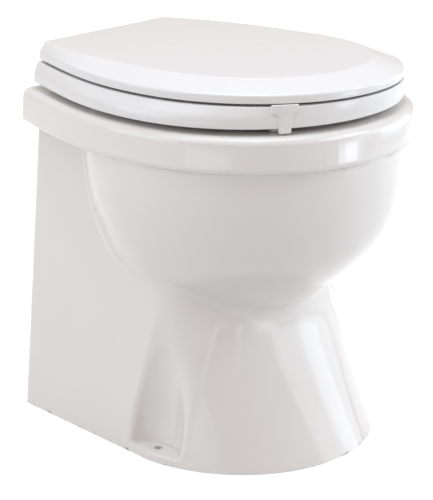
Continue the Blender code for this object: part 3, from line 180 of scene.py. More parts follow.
class ToiletStage(bpy.types.PropertyGroup):
    """Camera, floor and lights."""

    turn: angle_setting("Turn", -50.0, "Direction that the camera looks in, from +Y")
    drop: angle_setting("Drop", 17.6, "How far the camera looks down")
    camera_x: length_setting("Camera X", -1.3683, "The camera's place from left to right", -FARTHEST)
    camera_y: length_setting("Camera Y", -1.1363, "The camera's place from front to back", -FARTHEST)
    camera_z: length_setting("Camera Z", 0.7504, "The camera's height")
    focal_pixels: bpy.props.FloatProperty(
        name="Focal length", description="Focal length in the photo's pixels", default=1790.0, min=1.0,
        subtype="PIXEL",
    )
    floor: colour_setting("Floor", (0.55, 0.55, 0.55), "Colour of the floor")
    floor_glow: share_setting("Floor glow", 0.71, "How much white the floor adds for the camera")
    surround: colour_setting("Surround", (1.0, 0.868, 0.806), "Colour of the light from all around")
    surround_level: share_setting("Surround level", 0.575, "Strength of the light from all around")
    lamps: colour_setting("Lamps", (0.785, 0.905, 1.0), "Colour of the softboxes")


PHOTO_HEIGHT = 500
SENSOR = 36.0


class Wire:
    """A node's socket with arithmetic: an expression on wires adds its Math nodes."""

    def __init__(self, tree, socket):
        self.tree = tree
        self.socket = socket

    def math(self, operation, *others):
        return self.tree.add("ShaderNodeMath", {"operation": operation}, dict(enumerate((self, *others))))

    def __add__(self, other):
        return self.math("ADD", other)

    def __radd__(self, other):
        return self.tree.number(other, "ADD", self)

    def __sub__(self, other):
        return self.math("SUBTRACT", other)

    def __rsub__(self, other):
        return self.tree.number(other, "SUBTRACT", self)

    def __mul__(self, other):
        return self.math("MULTIPLY", other)

    __rmul__ = __mul__

    def __truediv__(self, other):
        return self.math("DIVIDE", other)

    def __rtruediv__(self, other):
        return self.tree.number(other, "DIVIDE", self)


class Tree:
    """A node tree, and one method that adds any node to it."""

    def __init__(self, tree):
        self.nodes, self.links = tree.nodes, tree.links

    def feed(self, socket, value):
        if isinstance(value, Wire):
            self.links.new(value.socket, socket)
        else:
            socket.default_value = value

    def add(self, kind, settings=None, inputs=None, output=0):
        node = self.nodes.new(kind)
        for key, value in (settings or {}).items():
            setattr(node, key, value)
        for key, value in (inputs or {}).items():
            self.feed(node.inputs[key], value)
        return Wire(self, node.outputs[output])

    def number(self, value, operation, wire):
        return self.add("ShaderNodeMath", {"operation": operation}, {0: value, 1: wire})


class Finish(Tree):
    """A node material with a Principled shader."""

    def __init__(self, name, colour, roughness, **constants):
        self.material = bpy.data.materials.new(name)
        self.material.use_nodes = True
        super().__init__(self.material.node_tree)
        self.shader = self.nodes["Principled BSDF"]
        self.set("Base Color", (*colour, 1.0))
        self.set("Roughness", roughness)
        self.material.diffuse_color = (*colour, 1.0)
        for socket, value in constants.items():
            self.set(socket.replace("_", " "), value)

    def set(self, socket, value):
        self.feed(self.shader.inputs[socket], value)

    def place(self):
        return self.add("ShaderNodeTexCoord", output="Object")

    def noise(self, scale, detail=3.0, roughness=0.5, where=None):
        inputs = {"Vector": where or self.place(), "Scale": scale, "Detail": detail, "Roughness": roughness}
        return self.add("ShaderNodeTexNoise", inputs=inputs)

    def stretched(self, scale):
        return self.add("ShaderNodeMapping", inputs={"Vector": self.place(), "Scale": scale})

    def mix(self, factor, first, second):
        inputs = {"Factor": factor, 6: first, 7: second}
        return self.add("ShaderNodeMix", {"data_type": "RGBA"}, inputs, output=2)

    def mottle(self, pattern, colour, first, second):
        """Varies the base colour by a pattern, between two shades of one colour."""
        ends = [(*shade(colour, factor), 1.0) for factor in (first, second)]
        self.set("Base Color", self.mix(pattern, *ends))

    def seen_directly(self):
        """1 for the camera's rays and those that mirror or pass through, and 0 for those that light."""
        kinds = ("Camera", "Glossy", "Transmission")
        camera, mirror, through = (self.add("ShaderNodeLightPath", output=f"Is {kind} Ray") for kind in kinds)
        return (camera + mirror + through).math("MINIMUM", 1.0)

    def bump(self, height, distance, strength=1.0):
        inputs = {"Height": height, "Distance": distance, "Strength": strength}
        self.set("Normal", self.add("ShaderNodeBump", inputs=inputs))


class Growth(Tree):
    """A Geometry Nodes tree, which ends in Realize Instances and Set Material."""

    def __init__(self, name, **inputs):
        self.tree = bpy.data.node_groups.new(name, "GeometryNodeTree")
        super().__init__(self.tree)
        face, self.keys = self.tree.interface, {}
        for label, kind in {**inputs, "Finish": "Material"}.items():
            socket = face.new_socket(label, in_out="INPUT", socket_type=f"NodeSocket{kind}")
            self.keys[label] = socket.identifier
        face.new_socket("Made", in_out="OUTPUT", socket_type="NodeSocketGeometry")
        sockets = self.nodes.new("NodeGroupInput").outputs
        self.given = {label: Wire(self, sockets[label]) for label in self.keys}

    def attribute(self, name, kind):
        return self.add("GeometryNodeInputNamedAttribute", {"data_type": kind}, {"Name": name}, "Attribute")

    def end(self, geometry):
        whole = self.add("GeometryNodeRealizeInstances", inputs={"Geometry": geometry})
        inputs = {"Geometry": whole, "Material": self.given["Finish"]}
        painted = self.add("GeometryNodeSetMaterial", inputs=inputs)
        self.feed(self.nodes.new("NodeGroupOutput").inputs["Made"], painted)


def shade(colour, factor):
    return tuple(min(channel * factor, 1.0) for channel in colour)


def glaze(settings):
    """White vitreous glaze: very slightly cloudy, with the faint ripple that firing leaves."""
    coat = {"Coat_Weight": 0.35, "Coat_Roughness": 0.11}
    finish = Finish("glaze", settings.colour, settings.gloss, **coat, IOR=1.52)
    cloud = finish.noise(7.0, 2.0)
    warm = (*shade(settings.colour, 1.012)[:2], settings.colour[2] * 0.992, 1.0)
    cool = (*shade(settings.colour, 0.985), 1.0)
    finish.set("Base Color", finish.mix(cloud, warm, cool))
    finish.set("Roughness", settings.gloss + finish.noise(40.0) * 0.05)
    ripple = finish.noise(16.0, 1.0) + finish.noise(140.0, 1.0) * 0.06
    finish.bump(ripple, 0.0011, 0.35)
    return finish.material


def seat_plastic(settings):
    """Hard gloss plastic with the faint orange-peel of a moulding."""
    coat = {"Coat_Weight": 0.25, "Coat_Roughness": 0.06}
    finish = Finish("seat_gloss", settings.colour, settings.gloss, **coat, IOR=1.49)
    finish.set("Roughness", settings.gloss + finish.noise(60.0, 4.0) * 0.07)
    finish.mottle(finish.noise(11.0, 2.0), settings.colour, 1.0, 0.985)
    finish.bump(finish.noise(320.0, 2.0) + finish.noise(25.0, 1.0), 0.0003, 0.25)
    return finish.material


def moulded_plastic(name, colour, roughness, grain=900.0):
    finish = Finish(name, colour, roughness, IOR=1.49)
    finish.mottle(finish.noise(35.0, 4.0), colour, 0.88, 1.15)
    finish.set("Roughness", roughness - 0.06 + finish.noise(90.0, 4.0) * 0.14)
    finish.bump(finish.noise(grain, 2.0), 0.0002, 0.5)
    return finish.material


def rubber(settings):
    finish = Finish("rubber", settings.rubber, 0.62, IOR=1.5)
    finish.mottle(finish.noise(28.0, 5.0), settings.rubber, 1.0, 2.0)
    finish.set("Roughness", 0.50 + finish.noise(60.0) * 0.24)
    finish.bump(finish.noise(700.0, 3.0), 0.0003, 0.6)
    return finish.material


def brushed_steel(settings):
    finish = Finish("stainless_steel", settings.steel, 0.28, Metallic=1.0)
    brush = finish.noise(60.0, 6.0, 0.7, finish.stretched((1.0, 1.0, 24.0)))
    finish.mottle(brush, settings.steel, 0.85, 1.12)
    finish.set("Roughness", 0.18 + brush * 0.22)
    finish.bump(brush, 0.0001, 0.5)
    return finish.material


def motor_paint(settings):
    finish = Finish("motor_paint", settings.paint, 0.38, IOR=1.5)
    finish.set("Roughness", 0.30 + finish.noise(50.0, 4.0) * 0.16)
    finish.mottle(finish.noise(18.0, 4.0), settings.paint, 0.9, 1.2)
    finish.bump(finish.noise(420.0, 3.0), 0.0003, 0.4)
    return finish.material


MATERIALS = {}


def make_materials(scene):
    china, seat, pump = scene.toilet_china, scene.toilet_seat, scene.toilet_pump
    MATERIALS.update(
        vitreous_china=glaze(china),
        seat_plastic=seat_plastic(seat),
        hinge_plastic=moulded_plastic("hinge_plastic", (0.74, 0.74, 0.73), 0.34),
        stainless=brushed_steel(pump),
        black_rubber=rubber(pump),
        clear_buffer=moulded_plastic("soft_pad", (0.70, 0.70, 0.68), 0.45),
        pump_plastic=moulded_plastic("pump_plastic", pump.plastic, 0.46, 1200.0),
        motor_paint=motor_paint(pump),
        base_plastic=moulded_plastic("base_plastic", (0.10, 0.10, 0.105), 0.50),
        bronze=moulded_metal("bronze", (0.42, 0.27, 0.13)),
        steel_laminate=moulded_metal("laminated_steel", (0.24, 0.235, 0.23)),
    )


def moulded_metal(name, colour):
    finish = Finish(name, colour, 0.38, Metallic=1.0)
    finish.mottle(finish.noise(45.0, 5.0), colour, 0.8, 1.2)
    finish.set("Roughness", 0.28 + finish.noise(70.0, 3.0) * 0.2)
    return finish.material


def placed(name, data):
    """An object in the scene, at the origin."""
    obj = bpy.data.objects.new(name, data)
    bpy.context.scene.collection.objects.link(obj)
    return obj


def mesh_object(name, bm, slot=None):
    """An object at the origin from a bmesh. One without a slot is a cutter."""
    mesh = bpy.data.meshes.new(name)
    bm.to_mesh(mesh)
    bm.free()
    if slot:
        mesh.materials.append(MATERIALS[slot])
    return placed(name, mesh)


def bake(obj):
    """Puts what the modifiers make in place of an object's mesh."""
    graph = bpy.context.evaluated_depsgraph_get()
    made = bpy.data.meshes.new_from_object(obj.evaluated_get(graph))
    obj.modifiers.clear()
    old, obj.data = obj.data, made
    bpy.data.meshes.remove(old)
    return made


def settle(obj, sharp):
    """Bakes the modifiers into the mesh, and smooths all but the sharp edges."""
    baked = bake(obj)
    baked.name = obj.name
    bm = bmesh.new()
    bm.from_mesh(baked)
    bmesh.ops.remove_doubles(bm, verts=bm.verts, dist=0.00002)
    bmesh.ops.dissolve_degenerate(bm, edges=bm.edges, dist=0.00001)
    bm.to_mesh(baked)
    bm.free()
    baked.shade_smooth()
    baked.set_sharp_from_angle(angle=math.radians(sharp))


def finish_piece(obj, body, slot, *nodes, sharp=32.0):
    """Settles a piece, hangs it from the empty of the body that it rides on, and hides the frame's nodes that
    it stands for. Its finish, the slot, is not used.
    """
    settle(obj, sharp)
    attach(obj, body)
    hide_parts(*nodes)


def boolean(target, operation, *others):
    """Joins or cuts with other objects, which are used up."""
    for other in others:
        modifier = target.modifiers.new(operation.lower(), "BOOLEAN")
        modifier.operation = operation
        modifier.solver = "EXACT"
        modifier.object = other
    bake(target)
    for other in others:
        mesh = other.data
        bpy.data.objects.remove(other)
        bpy.data.meshes.remove(mesh)


def skin(rings, around=False):
    """A bmesh through rings of equal counts, closed by its end faces, or back round to the first ring."""
    bm = bmesh.new()
    loops = [[bm.verts.new(point) for point in ring] for ring in rings]
    for lower, upper in zip(loops, loops[1:] + (loops[:1] if around else [])):
        count = len(lower)
        for i in range(count):
            j = (i + 1) % count
            bm.faces.new((lower[i], lower[j], upper[j], upper[i]))
    if not around:
        bm.faces.new(loops[0][::-1])
        bm.faces.new(loops[-1])
    bmesh.ops.recalc_face_normals(bm, faces=bm.faces)
    return bm


def arc_steps(radius, steps):
    """Insets and drops of a quarter round, from the side to the top."""
    for i in range(steps + 1):
        angle = math.radians(90) * i / steps
        yield radius * (1 - math.cos(angle)), radius * (1 - math.sin(angle))


def d_outline(half_width, widest_y, front_y, rear_y, rear_half, corner, power, flare, fine=1):
    """Half of a D-shaped outline in the plane, from the middle of the back to the middle of the front."""
    centre = Vector((rear_half - corner, rear_y - corner))
    points = [Vector((rear_half * i / 6, rear_y)) for i in range(5)]
    corner_steps, side_steps, front_steps = 6 * fine, 22 * fine, 34 * fine
    for i in range(corner_steps + 1):
        angle = math.radians(90) + (flare - math.radians(90)) * i / corner_steps
        points.append(centre + corner * Vector((math.cos(angle), math.sin(angle))))
    start, end = points[-1], Vector((half_width, widest_y))
    pull = 0.36 * (end - start).length
    first = start + pull * Vector((math.sin(flare), -math.cos(flare)))
    second = end + Vector((0, pull))
    for i in range(1, side_steps + 1):
        t = i / side_steps
        u = 1 - t
        points.append(u**3 * start + 3 * u * u * t * first + 3 * u * t * t * second + t**3 * end)
    for i in range(1, front_steps + 1):
        angle = math.radians(90) * i / front_steps
        x = half_width * max(math.cos(angle), 0) ** (2 / power)
        points.append(Vector((x, widest_y - (widest_y - front_y) * math.sin(angle) ** (2 / power))))
    points[-1].x = 0
    return points


def whole(half, height):
    right = [(p.x, p.y, height) for p in half]
    left = [(-p.x, p.y, height) for p in half[-2:0:-1]]
    return right + left


def rod(name, radius, start, end, slot=None, sides=48):
    """A cylinder between two points."""
    start, end = Vector(start), Vector(end)
    along = end - start
    bm = bmesh.new()
    radii = {"radius1": radius, "radius2": radius}
    bmesh.ops.create_cone(bm, cap_ends=True, segments=sides, depth=along.length, **radii)
    turn = along.to_track_quat("Z", "Y").to_matrix().to_4x4()
    bmesh.ops.transform(bm, verts=bm.verts, matrix=Matrix.Translation((start + end) / 2) @ turn)
    return mesh_object(name, bm, slot)


def upright(name, radius, x, y, bottom, top, slot=None):
    """A cylinder that stands along Z."""
    return rod(name, radius, (x, y, bottom), (x, y, top), slot)


def on_axis(name, radius, x0, x1, slot=None):
    """A cylinder along the hinges' axis."""
    return rod(name, radius, (x0, AXIS_Y, AXIS_Z), (x1, AXIS_Y, AXIS_Z), slot)


def screw_hole(piece, start, end):
    boolean(piece, "DIFFERENCE", rod("hole", SCREW_HOLE, start, end, sides=24))


def block(name, lowest, highest, slot=None):
    bm = bmesh.new()
    bmesh.ops.create_cube(bm, size=1)
    lowest, highest = Vector(lowest), Vector(highest)
    bmesh.ops.scale(bm, verts=bm.verts, vec=highest - lowest)
    bmesh.ops.transform(bm, verts=bm.verts, matrix=Matrix.Translation((lowest + highest) / 2))
    return mesh_object(name, bm, slot)


# The china's shape, as numbers that say how far a point lies outside a surface, negative inside.
# They are taken from the frame's own drawing of the casting.
RIM_TOP = high("china_bowl").z
REAR = high("china_bowl").y
FRONT = low("china_bowl").y
RIM_HALF = high("china_bowl").x
WIDEST_Y = -0.021
WALL_WIDEST_Y = -0.015
SHELF_Y = REAR - 0.007
OUTLET_Y = -0.040
STUD_Y = middle("hinge_washer_left").y
STUD_X = middle("hinge_washer_right").x
BOWL_REAR = 0.158
BOWL_LEAN = 0.0195
SEAT_POWER = 2.09
FLARE = math.radians(24)
GRID = 3.6 * MM


def meet(first, second, radius):
    """What lies in both solids, with a rounded edge between them."""
    a, b = first + radius, second + radius
    outside = np.hypot(np.maximum(a, 0), np.maximum(b, 0))
    return np.minimum(np.maximum(a, b), 0) + outside - radius


def joined(first, second, radius):
    """What lies in either solid, with a hollow fillet between them."""
    return -meet(-first, -second, radius)


def without(first, second, radius):
    return meet(first, -second, radius)


def outline_distance(x, y, half):
    """How far points lie outside a mirrored outline in the plane."""
    x = np.abs(x)
    nearest, inside = np.inf, False
    for (ax, ay), (bx, by) in zip(half, half[1:]):
        ex, ey = bx - ax, by - ay
        t = np.clip(((x - ax) * ex + (y - ay) * ey) / (ex * ex + ey * ey), 0, 1)
        nearest = np.minimum(nearest, (x - ax - t * ex) ** 2 + (y - ay - t * ey) ** 2)
        if ay != by:
            inside = inside ^ (((ay > y) != (by > y)) & (x < ex * (y - ay) / ey + ax))
    return np.where(inside, -1, 1) * np.sqrt(nearest)


def ellipsoid(x, y, z, across, front, rear, depth, shoulder):
    """The bowl: an ellipsoid below its shoulder, its bottom set back, and straight above it."""
    drop = np.maximum(shoulder - z, 0)
    dy = y - WIDEST_Y - BOWL_LEAN * eased((drop / depth - 0.34) / 0.50)
    reach = np.where(dy > 0, rear, front)
    near = np.sqrt((x / across) ** 2 + (dy / reach) ** 2 + (drop / depth) ** 2) + 1e-6
    slope = np.sqrt((x / across**2) ** 2 + (dy / reach**2) ** 2 + (drop / depth**2) ** 2) + 1e-6
    return near * (near - 1) / slope


def eased(share):
    """A step from 0 to 1 with soft ends."""
    share = np.clip(share, 0, 1)
    return share * share * (3 - 2 * share)


def above(z, start, width):
    """How far z stands above a start, turning softly over a width."""
    return (np.sqrt((z - start) ** 2 + width**2) + z - start) / 2


def foot_reach(z, s):
    """How far the pedestal's front reaches: out at the foot, in at the neck, and away under the bowl."""
    lower = np.minimum(above(s.neck_height - z, 0, 0.010) / s.neck_height, 1)
    upper = np.minimum(above(z, s.neck_height + 0.003, 0.010) / (0.215 - s.neck_height), 1)
    return s.neck_reach + (s.foot_reach - s.neck_reach) * lower**1.15 + (s.neck_head - s.neck_reach) * upper


def facet_relief(x, y, z, s):
    """A facet in front of the recess: a low ramp, sunk along a leaning groove and raised at its far side."""
    across = -0.643 * np.abs(x) - 0.766 * y
    start, end = -0.0468 + 0.2685 * z, -0.0040 + 0.115 * z
    share = (across - start) / (end - start)
    inside = eased(share / 0.26 + 0.5) * (1 - eased((share - 0.80) / 0.45))
    lengthways = eased((z - 0.004) / 0.006) * (1 - eased((z - 0.139) / 0.007))
    return (s.groove * (1 - share) - s.facet * share) * inside * lengthways


def pedestal_side(x, y, z, s, inset):
    """The pedestal's flat sides and rounded front."""
    share = np.clip(z, 0, None) / (RIM_TOP - s.band_height)
    half = 0.139 - s.lean * share - inset
    slope = 0.029 / (REAR - WALL_WIDEST_Y)
    x, dy = np.abs(x), y - WALL_WIDEST_Y
    reach = np.maximum(foot_reach(z, s) - inset, 0.006)
    power = 2.06
    u, v = x / half, np.maximum(-dy, 0) / reach + 1e-6
    q = (u**power + v**power) ** (1 / power)
    gradient = np.hypot(u ** (power - 1) / half, v ** (power - 1) / reach) * q ** (1 - power)
    front = (q - 1) / np.maximum(gradient, 1) + (0 if inset else facet_relief(x, y, z, s))
    return np.where(dy > 0, x - half + slope * np.maximum(dy, 0), front)


def recess(x, y, z, grow):
    """The floor screws' hollows: a round-backed channel that leans forward and runs out of the wall."""
    up = above(z, 0.030, 0.010) / 0.125
    dx = np.abs(x) - 0.139 + 0.0633 * z - 0.026 * up
    dy = y + 0.0185 + 0.158 * (z - 0.017)
    across, along = 0.026 + grow, 0.0325 + grow
    near = np.sqrt((dx / across) ** 2 + (dy / along) ** 2) + 1e-6
    slope = np.sqrt((dx / across**2) ** 2 + (dy / along**2) ** 2) + 1e-6
    return np.maximum(near * (near - 1) / slope, z - 0.157 - grow)


def china_field(s):
    """The whole casting as one function of a point."""
    rim = d_outline(RIM_HALF, WIDEST_Y, FRONT, SHELF_Y, 0.111, s.shelf_corner, 2.18, FLARE)
    band_bottom = RIM_TOP - s.band_height
    across, front = RIM_HALF - s.band_overhang, WIDEST_Y - FRONT - s.band_overhang
    spigot_bottom = low("china_bowl").z + 0.093
    rinse_z = middle("rinse_seal").z

    def field(x, y, z):
        up = np.clip((z - band_bottom) / s.band_height, 0, 1)
        side = outline_distance(x, y, rim) + s.band_swell * up**2
        band = meet(meet(side, z - RIM_TOP, s.band_round), band_bottom - z, s.band_foot_round)

        rear = y - REAR + s.rear_lean * np.clip(z, 0, None) / band_bottom
        wall = meet(pedestal_side(x, y, z, s, 0), rear, s.wall_corner)
        wall = meet(meet(wall, -z, s.foot_edge), z - band_bottom - 0.012, 0)

        inner = pedestal_side(x, y, z, s, s.wall)
        boss = recess(x, y, z, 0.011)
        bay = without(meet(inner, z - band_bottom + s.wall, 0.010), boss, 0.004)
        top_inner = pedestal_side(x, y, np.full_like(z, band_bottom), s, s.wall)
        top_inner = meet(top_inner, y - SHELF_Y + s.wall, 0.004)
        hollow = meet(meet(top_inner, z - RIM_TOP + 0.0145, 0.004), band_bottom - 0.020 - z, 0)
        inside = joined(bay, hollow, 0.002)

        soft = np.clip((-y - 0.060) / 0.050, 0, 1)
        blend = s.crease + (s.soft_crease - s.crease) * soft
        bowl = ellipsoid(x, y, z, across, front, BOWL_REAR, s.bowl_depth, s.bowl_shoulder)
        bowl = meet(bowl, z - RIM_TOP + 0.008, 0)
        away = np.hypot(x, y - OUTLET_Y)
        spigot = meet(away - 0.026, spigot_bottom - z, 0.0015)
        bowl = joined(bowl, meet(spigot, z - 0.160, 0), 0.008)
        rinse = np.hypot(x, z - rinse_z)
        lug = meet(rinse - 0.014, y - WIDEST_Y - BOWL_REAR - 0.011, 0.001)
        bowl = joined(bowl, meet(lug, 0.110 - y, 0), 0.003)
        body = joined(without(wall, inside, 0.0025), bowl, blend)
        body = joined(body, without(band, inside, 0.0025), 0.0025)

        lip_under = RIM_TOP - 0.012
        reaches = (reach - s.wall for reach in (across, front, BOWL_REAR, s.bowl_depth))
        cavity = ellipsoid(x, y, z, *reaches, s.bowl_shoulder)
        cavity = meet(cavity, z - lip_under, 0.006)
        reaches = (reach - s.lip_width for reach in (RIM_HALF, WIDEST_Y - FRONT, BOWL_REAR))
        mouth = ellipsoid(x, y, np.ones_like(z), *reaches, 1.0, 0.0)
        cavity = joined(cavity, meet(mouth, lip_under - 0.020 - z, 0), 0.003)
        cavity = joined(cavity, meet(away - 0.020, z - 0.200, 0), 0.010)
        cavity = joined(cavity, meet(rinse - 0.0083, 0.110 - y, 0), 0.001)
        body = without(body, cavity, s.lip_round)

        easing = s.recess_round + (s.recess_ease - s.recess_round) * eased((-y - 0.158 * z - 0.016) / 0.020)
        easing = easing * eased((z + 0.002) / 0.024) + 0.0015
        return without(body, meet(recess(x, y, z, 0), 0.010 - z, 0.0015), easing)

    return field


def gradient(field, points, step=0.0002):
    """The field's values and slopes at points, from four neighbours of each."""
    corners = np.array([(1, 1, 1), (1, -1, -1), (-1, 1, -1), (-1, -1, 1)]) * step
    values = [field(*(points + corner).T) for corner in corners]
    slopes = sum(np.outer(value, corner) for value, corner in zip(values, corners))
    return sum(values) / 4, slopes / (4 * step * step)


def surface_net(field, lowest, highest, step):
    """A net of four-sided faces where the field is zero, and which of its points edge the sole."""
    axes = [np.arange(a, b + step, step) for a, b in zip(lowest, highest)]
    grid = np.meshgrid(*axes, indexing="ij", sparse=True)
    values = np.broadcast_to(field(*grid), [len(axis) for axis in axes])
    inside = values < 0
    ends = [slice(0, -1), slice(1, None)]
    corners = [(i, j, k) for i in (0, 1) for j in (0, 1) for k in (0, 1)]
    held = np.stack([inside[ends[i], ends[j], ends[k]] for i, j, k in corners])
    mixed = held.any(0) & ~held.all(0)
    number = np.full(mixed.shape, -1)
    number[mixed] = np.arange(mixed.sum())
    cells = np.argwhere(mixed)
    filled_above = held[1::2].all(0)[mixed]
    brink = (cells[:, 2] == cells[:, 2].min()) & ~filled_above
    total, count = np.zeros((len(cells), 3)), np.zeros(len(cells))
    for a, first in enumerate(corners):
        for second in corners[a + 1 :]:
            if sum(abs(i - j) for i, j in zip(first, second)) != 1:
                continue
            start = values[tuple((cells + first).T)]
            end = values[tuple((cells + second).T)]
            crosses = (start < 0) != (end < 0)
            share = np.where(crosses, start / np.where(crosses, start - end, 1), 0)
            point = np.array(first) + np.outer(share, np.array(second) - np.array(first))
            total[crosses] += point[crosses]
            count += crosses
    points = (cells + total / count[:, None]) * step + np.array([axis[0] for axis in axes])
    faces = []
    for axis in range(3):
        u, v = (axis + 1) % 3, (axis + 2) % 3
        near, far = [slice(None)] * 3, [slice(None)] * 3
        near[axis], far[axis] = ends
        change = inside[tuple(near)] != inside[tuple(far)]
        where = np.argwhere(change)
        where = where[(where[:, u] > 0) & (where[:, v] > 0)]
        quad = []
        for du, dv in ((1, 1), (0, 1), (0, 0), (1, 0)):
            cell = where.copy()
            cell[:, u] -= du
            cell[:, v] -= dv
            quad.append(number[tuple(cell.T)])
        quad = np.stack(quad, 1)
        leaves = inside[tuple(where.T)]
        faces.append(np.where(leaves[:, None], quad, quad[:, ::-1]))
    return points, np.concatenate(faces), brink


def settle_on(field, points, faces):
    """Evens the net out, and draws its points onto the surface."""
    links = np.concatenate([faces[:, [i, (i + 1) % 4]] for i in range(4)])
    links = np.concatenate([links, links[:, ::-1]])
    count = np.bincount(links[:, 0], minlength=len(points))[:, None]
    for even in (0.5, 0.4, 0.3, 0.0, 0.0):
        if even:
            sums = [np.bincount(links[:, 0], points[links[:, 1], i], len(points)) for i in range(3)]
            points = points + even * (np.stack(sums, 1) / count - points)
        value, slope = gradient(field, points)
        strength = np.maximum((slope**2).sum(1), 0.2)
        move = slope * (value / strength)[:, None]
        points = points - np.clip(move, -GRID, GRID)
    return points


def slopes_at(field, points):
    """The field's slopes at points. What lies near the floor takes those of the wall above it."""
    return gradient(field, np.maximum(points, (-np.inf, -np.inf, NEAR_FLOOR)))[1]


def floor_edge(field, points):
    """Draws points out to the wall, level with the floor, by the wall's slope a little above it."""
    edge = points.copy()
    edge[:, 2] = NEAR_FLOOR
    for _ in range(6):
        value, slope = gradient(field, edge)
        climb = slope[:, 2:].copy()
        slope[:, 2] = 0
        strength = np.maximum((slope**2).sum(1), 0.2)[:, None]
        edge -= slope * value[:, None] / strength
    edge += slope * climb * NEAR_FLOOR / strength
    edge[:, 2] = 0
    return edge


def folded(field, points, faces):
    """The faces beside the floor that face into the china."""
    quads = points[faces]
    middles, normals = quads.mean(1), np.cross(quads[:, 2] - quads[:, 0], quads[:, 3] - quads[:, 1])
    slopes = slopes_at(field, middles)
    on_wall = (middles[:, 2] < NEAR_FLOOR) & (quads[:, :, 2].max(1) > ON_FLOOR)
    return on_wall & ((normals * slopes).sum(1) < 0)


def drillings():
    """The upright holes for the floor screws and the hinge studs: middle, radius and ends."""
    for side in (-1, 1):
        yield side * 0.126, -0.017, 0.0045, -0.006, 0.030
        yield side * STUD_X, STUD_Y, 0.0055, RIM_TOP - 0.030, RIM_TOP + 0.006


def read(items, key, kind=float, width=1):
    """One property of all a mesh's parts, as an array."""
    values = np.empty(len(items) * width, dtype=kind)
    items.foreach_get(key, values)
    return values if width == 1 else values.reshape(-1, width)


def glazed_normals(mesh, field):
    """The field's own slope at each corner, the drill's in its holes, and straight down on the sole."""
    points = read(mesh.vertices, "co", width=3)
    slopes = slopes_at(field, points)
    slopes /= np.linalg.norm(slopes, axis=1)[:, None] + 1e-9
    corners = read(mesh.loops, "vertex_index", int)
    counts = read(mesh.polygons, "loop_total", int)
    owners = np.repeat(np.arange(len(counts)), counts)
    normals = slopes[corners]
    for x, y, radius, *_ in drillings():
        inwards = np.array((x, y, 0)) - points * (1, 1, 0)
        on_wall = np.abs(np.hypot(*inwards.T[:2]) - radius) < 0.00003
        drilled = (np.bincount(owners, on_wall[corners]) == counts)[owners]
        normals[drilled] = inwards[corners[drilled]] / radius
    facing = read(mesh.polygons, "normal", width=3)
    flat = np.bincount(owners, points[corners, 2] < ON_FLOOR) == counts
    normals[(flat & (facing[:, 2] < 0))[owners]] = (0, 0, -1)
    return normals


def china(settings):
    field = china_field(settings)
    lowest, highest = low("china_bowl"), high("china_bowl")
    margin = Vector((1, 1, 1)) * 2 * GRID
    net, faces, brink = surface_net(field, lowest - margin, highest + margin, GRID)
    settled = settle_on(field, net, faces)
    points = settled.copy()
    points[brink] = floor_edge(field, net[brink])
    for _ in range(3):
        back = np.unique(faces[folded(field, points, faces)])
        points[back] = settled[back]
    points = np.clip(points, np.array(lowest), np.array(highest))
    mesh = bpy.data.meshes.new("glazed_china")
    mesh.from_pydata(points.tolist(), [], faces.tolist())
    mesh.materials.append(MATERIALS["vitreous_china"])
    obj = placed("glazed_china", mesh)
    drills = [upright("drill", radius, x, y, bottom, top) for x, y, radius, bottom, top in drillings()]
    boolean(obj, "DIFFERENCE", *drills)
    obj.data.shade_smooth()
    obj.data.normals_split_custom_set(glazed_normals(obj.data, field).tolist())
    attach(obj, "toilet")
    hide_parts("china_bowl")


# Seat and lid
SEAT_LOW = high("china_bowl").z + 0.0045
SEAT_TOP = SEAT_LOW + 0.0225
LID_LOW = SEAT_TOP + 0.0025
LID_TOP = high("lid").z
SEAT_HALF = high("seat").x
SEAT_FRONT = low("seat").y
SEAT_BACK = 0.173
AXIS_Y = middle("hinge_pin_left").y
AXIS_Z = middle("hinge_pin_left").z
PUMP_Z = middle("motor_can").z
# The hinge lugs' width, half the posts' width, and the clearance between them.
LUG = 0.010
HALF_POST = 0.0092
SIDE_GAP = 0.0012


# Outlines by half width, front, back and half width of the back: the lid's, and the seat's
# at its top, where it bulges and at its bottom.
LID_SHAPE = (SEAT_HALF - 0.0042, SEAT_FRONT - 0.0032, SEAT_BACK - 0.003, 0.0975)
TOP_SHAPE = (SEAT_HALF - 0.0035, SEAT_FRONT - 0.0030, SEAT_BACK - 0.001, 0.0985)
BULGE_SHAPE = (SEAT_HALF + 0.0058, SEAT_FRONT - 0.0018, SEAT_BACK, 0.1040)
FOOT_SHAPE = (SEAT_HALF + 0.0048, SEAT_FRONT + 0.0004, SEAT_BACK, 0.1040)


def flat_ring(shape, inset, height, behind=None):
    """A D-shaped ring drawn in from an outline, by another distance at its back if one is given."""
    half, front, rear, rear_half = shape
    behind = inset if behind is None else behind
    half, front, rear, rear_half = half - inset, front + inset, rear - behind, rear_half - behind
    return whole(d_outline(half, WIDEST_Y, front, rear, rear_half, 0.006, SEAT_POWER, FLARE, 2), height)


def towards(ring, centre, share, height):
    """A ring drawn in towards a point."""
    cx, cy = centre
    return [(cx + (x - cx) * share, cy + (y - cy) * share, height) for x, y, _ in ring]


def hinge_places():
    """Each side's sign and name, its post's place, and where its lid lug and seat lug start."""
    for side, name in ((-1, "left"), (1, "right")):
        post = abs(middle(f"hinge_post_{name}").x)
        yield side, name, post, {"lid": post - HALF_POST - LUG, "seat": post + HALF_POST}


def spanned(side, inner, outer):
    return sorted((side * inner, side * outer))


def hinge_lugs(piece, flap, low_z, high_z):
    """Joins a flap's hinge lugs, and drills them for the pins."""
    for side, _, _, lugs in hinge_places():
        x0, x1 = spanned(side, lugs[flap], lugs[flap] + LUG)
        neck = block("neck", (x0, AXIS_Y - 0.013, low_z), (x1, AXIS_Y, high_z))
        boolean(piece, "UNION", neck, on_axis("knuckle", 0.006, x0, x1))
        boolean(piece, "DIFFERENCE", on_axis("bore", PIN_BORE, x0 - OVERRUN, x1 + OVERRUN))


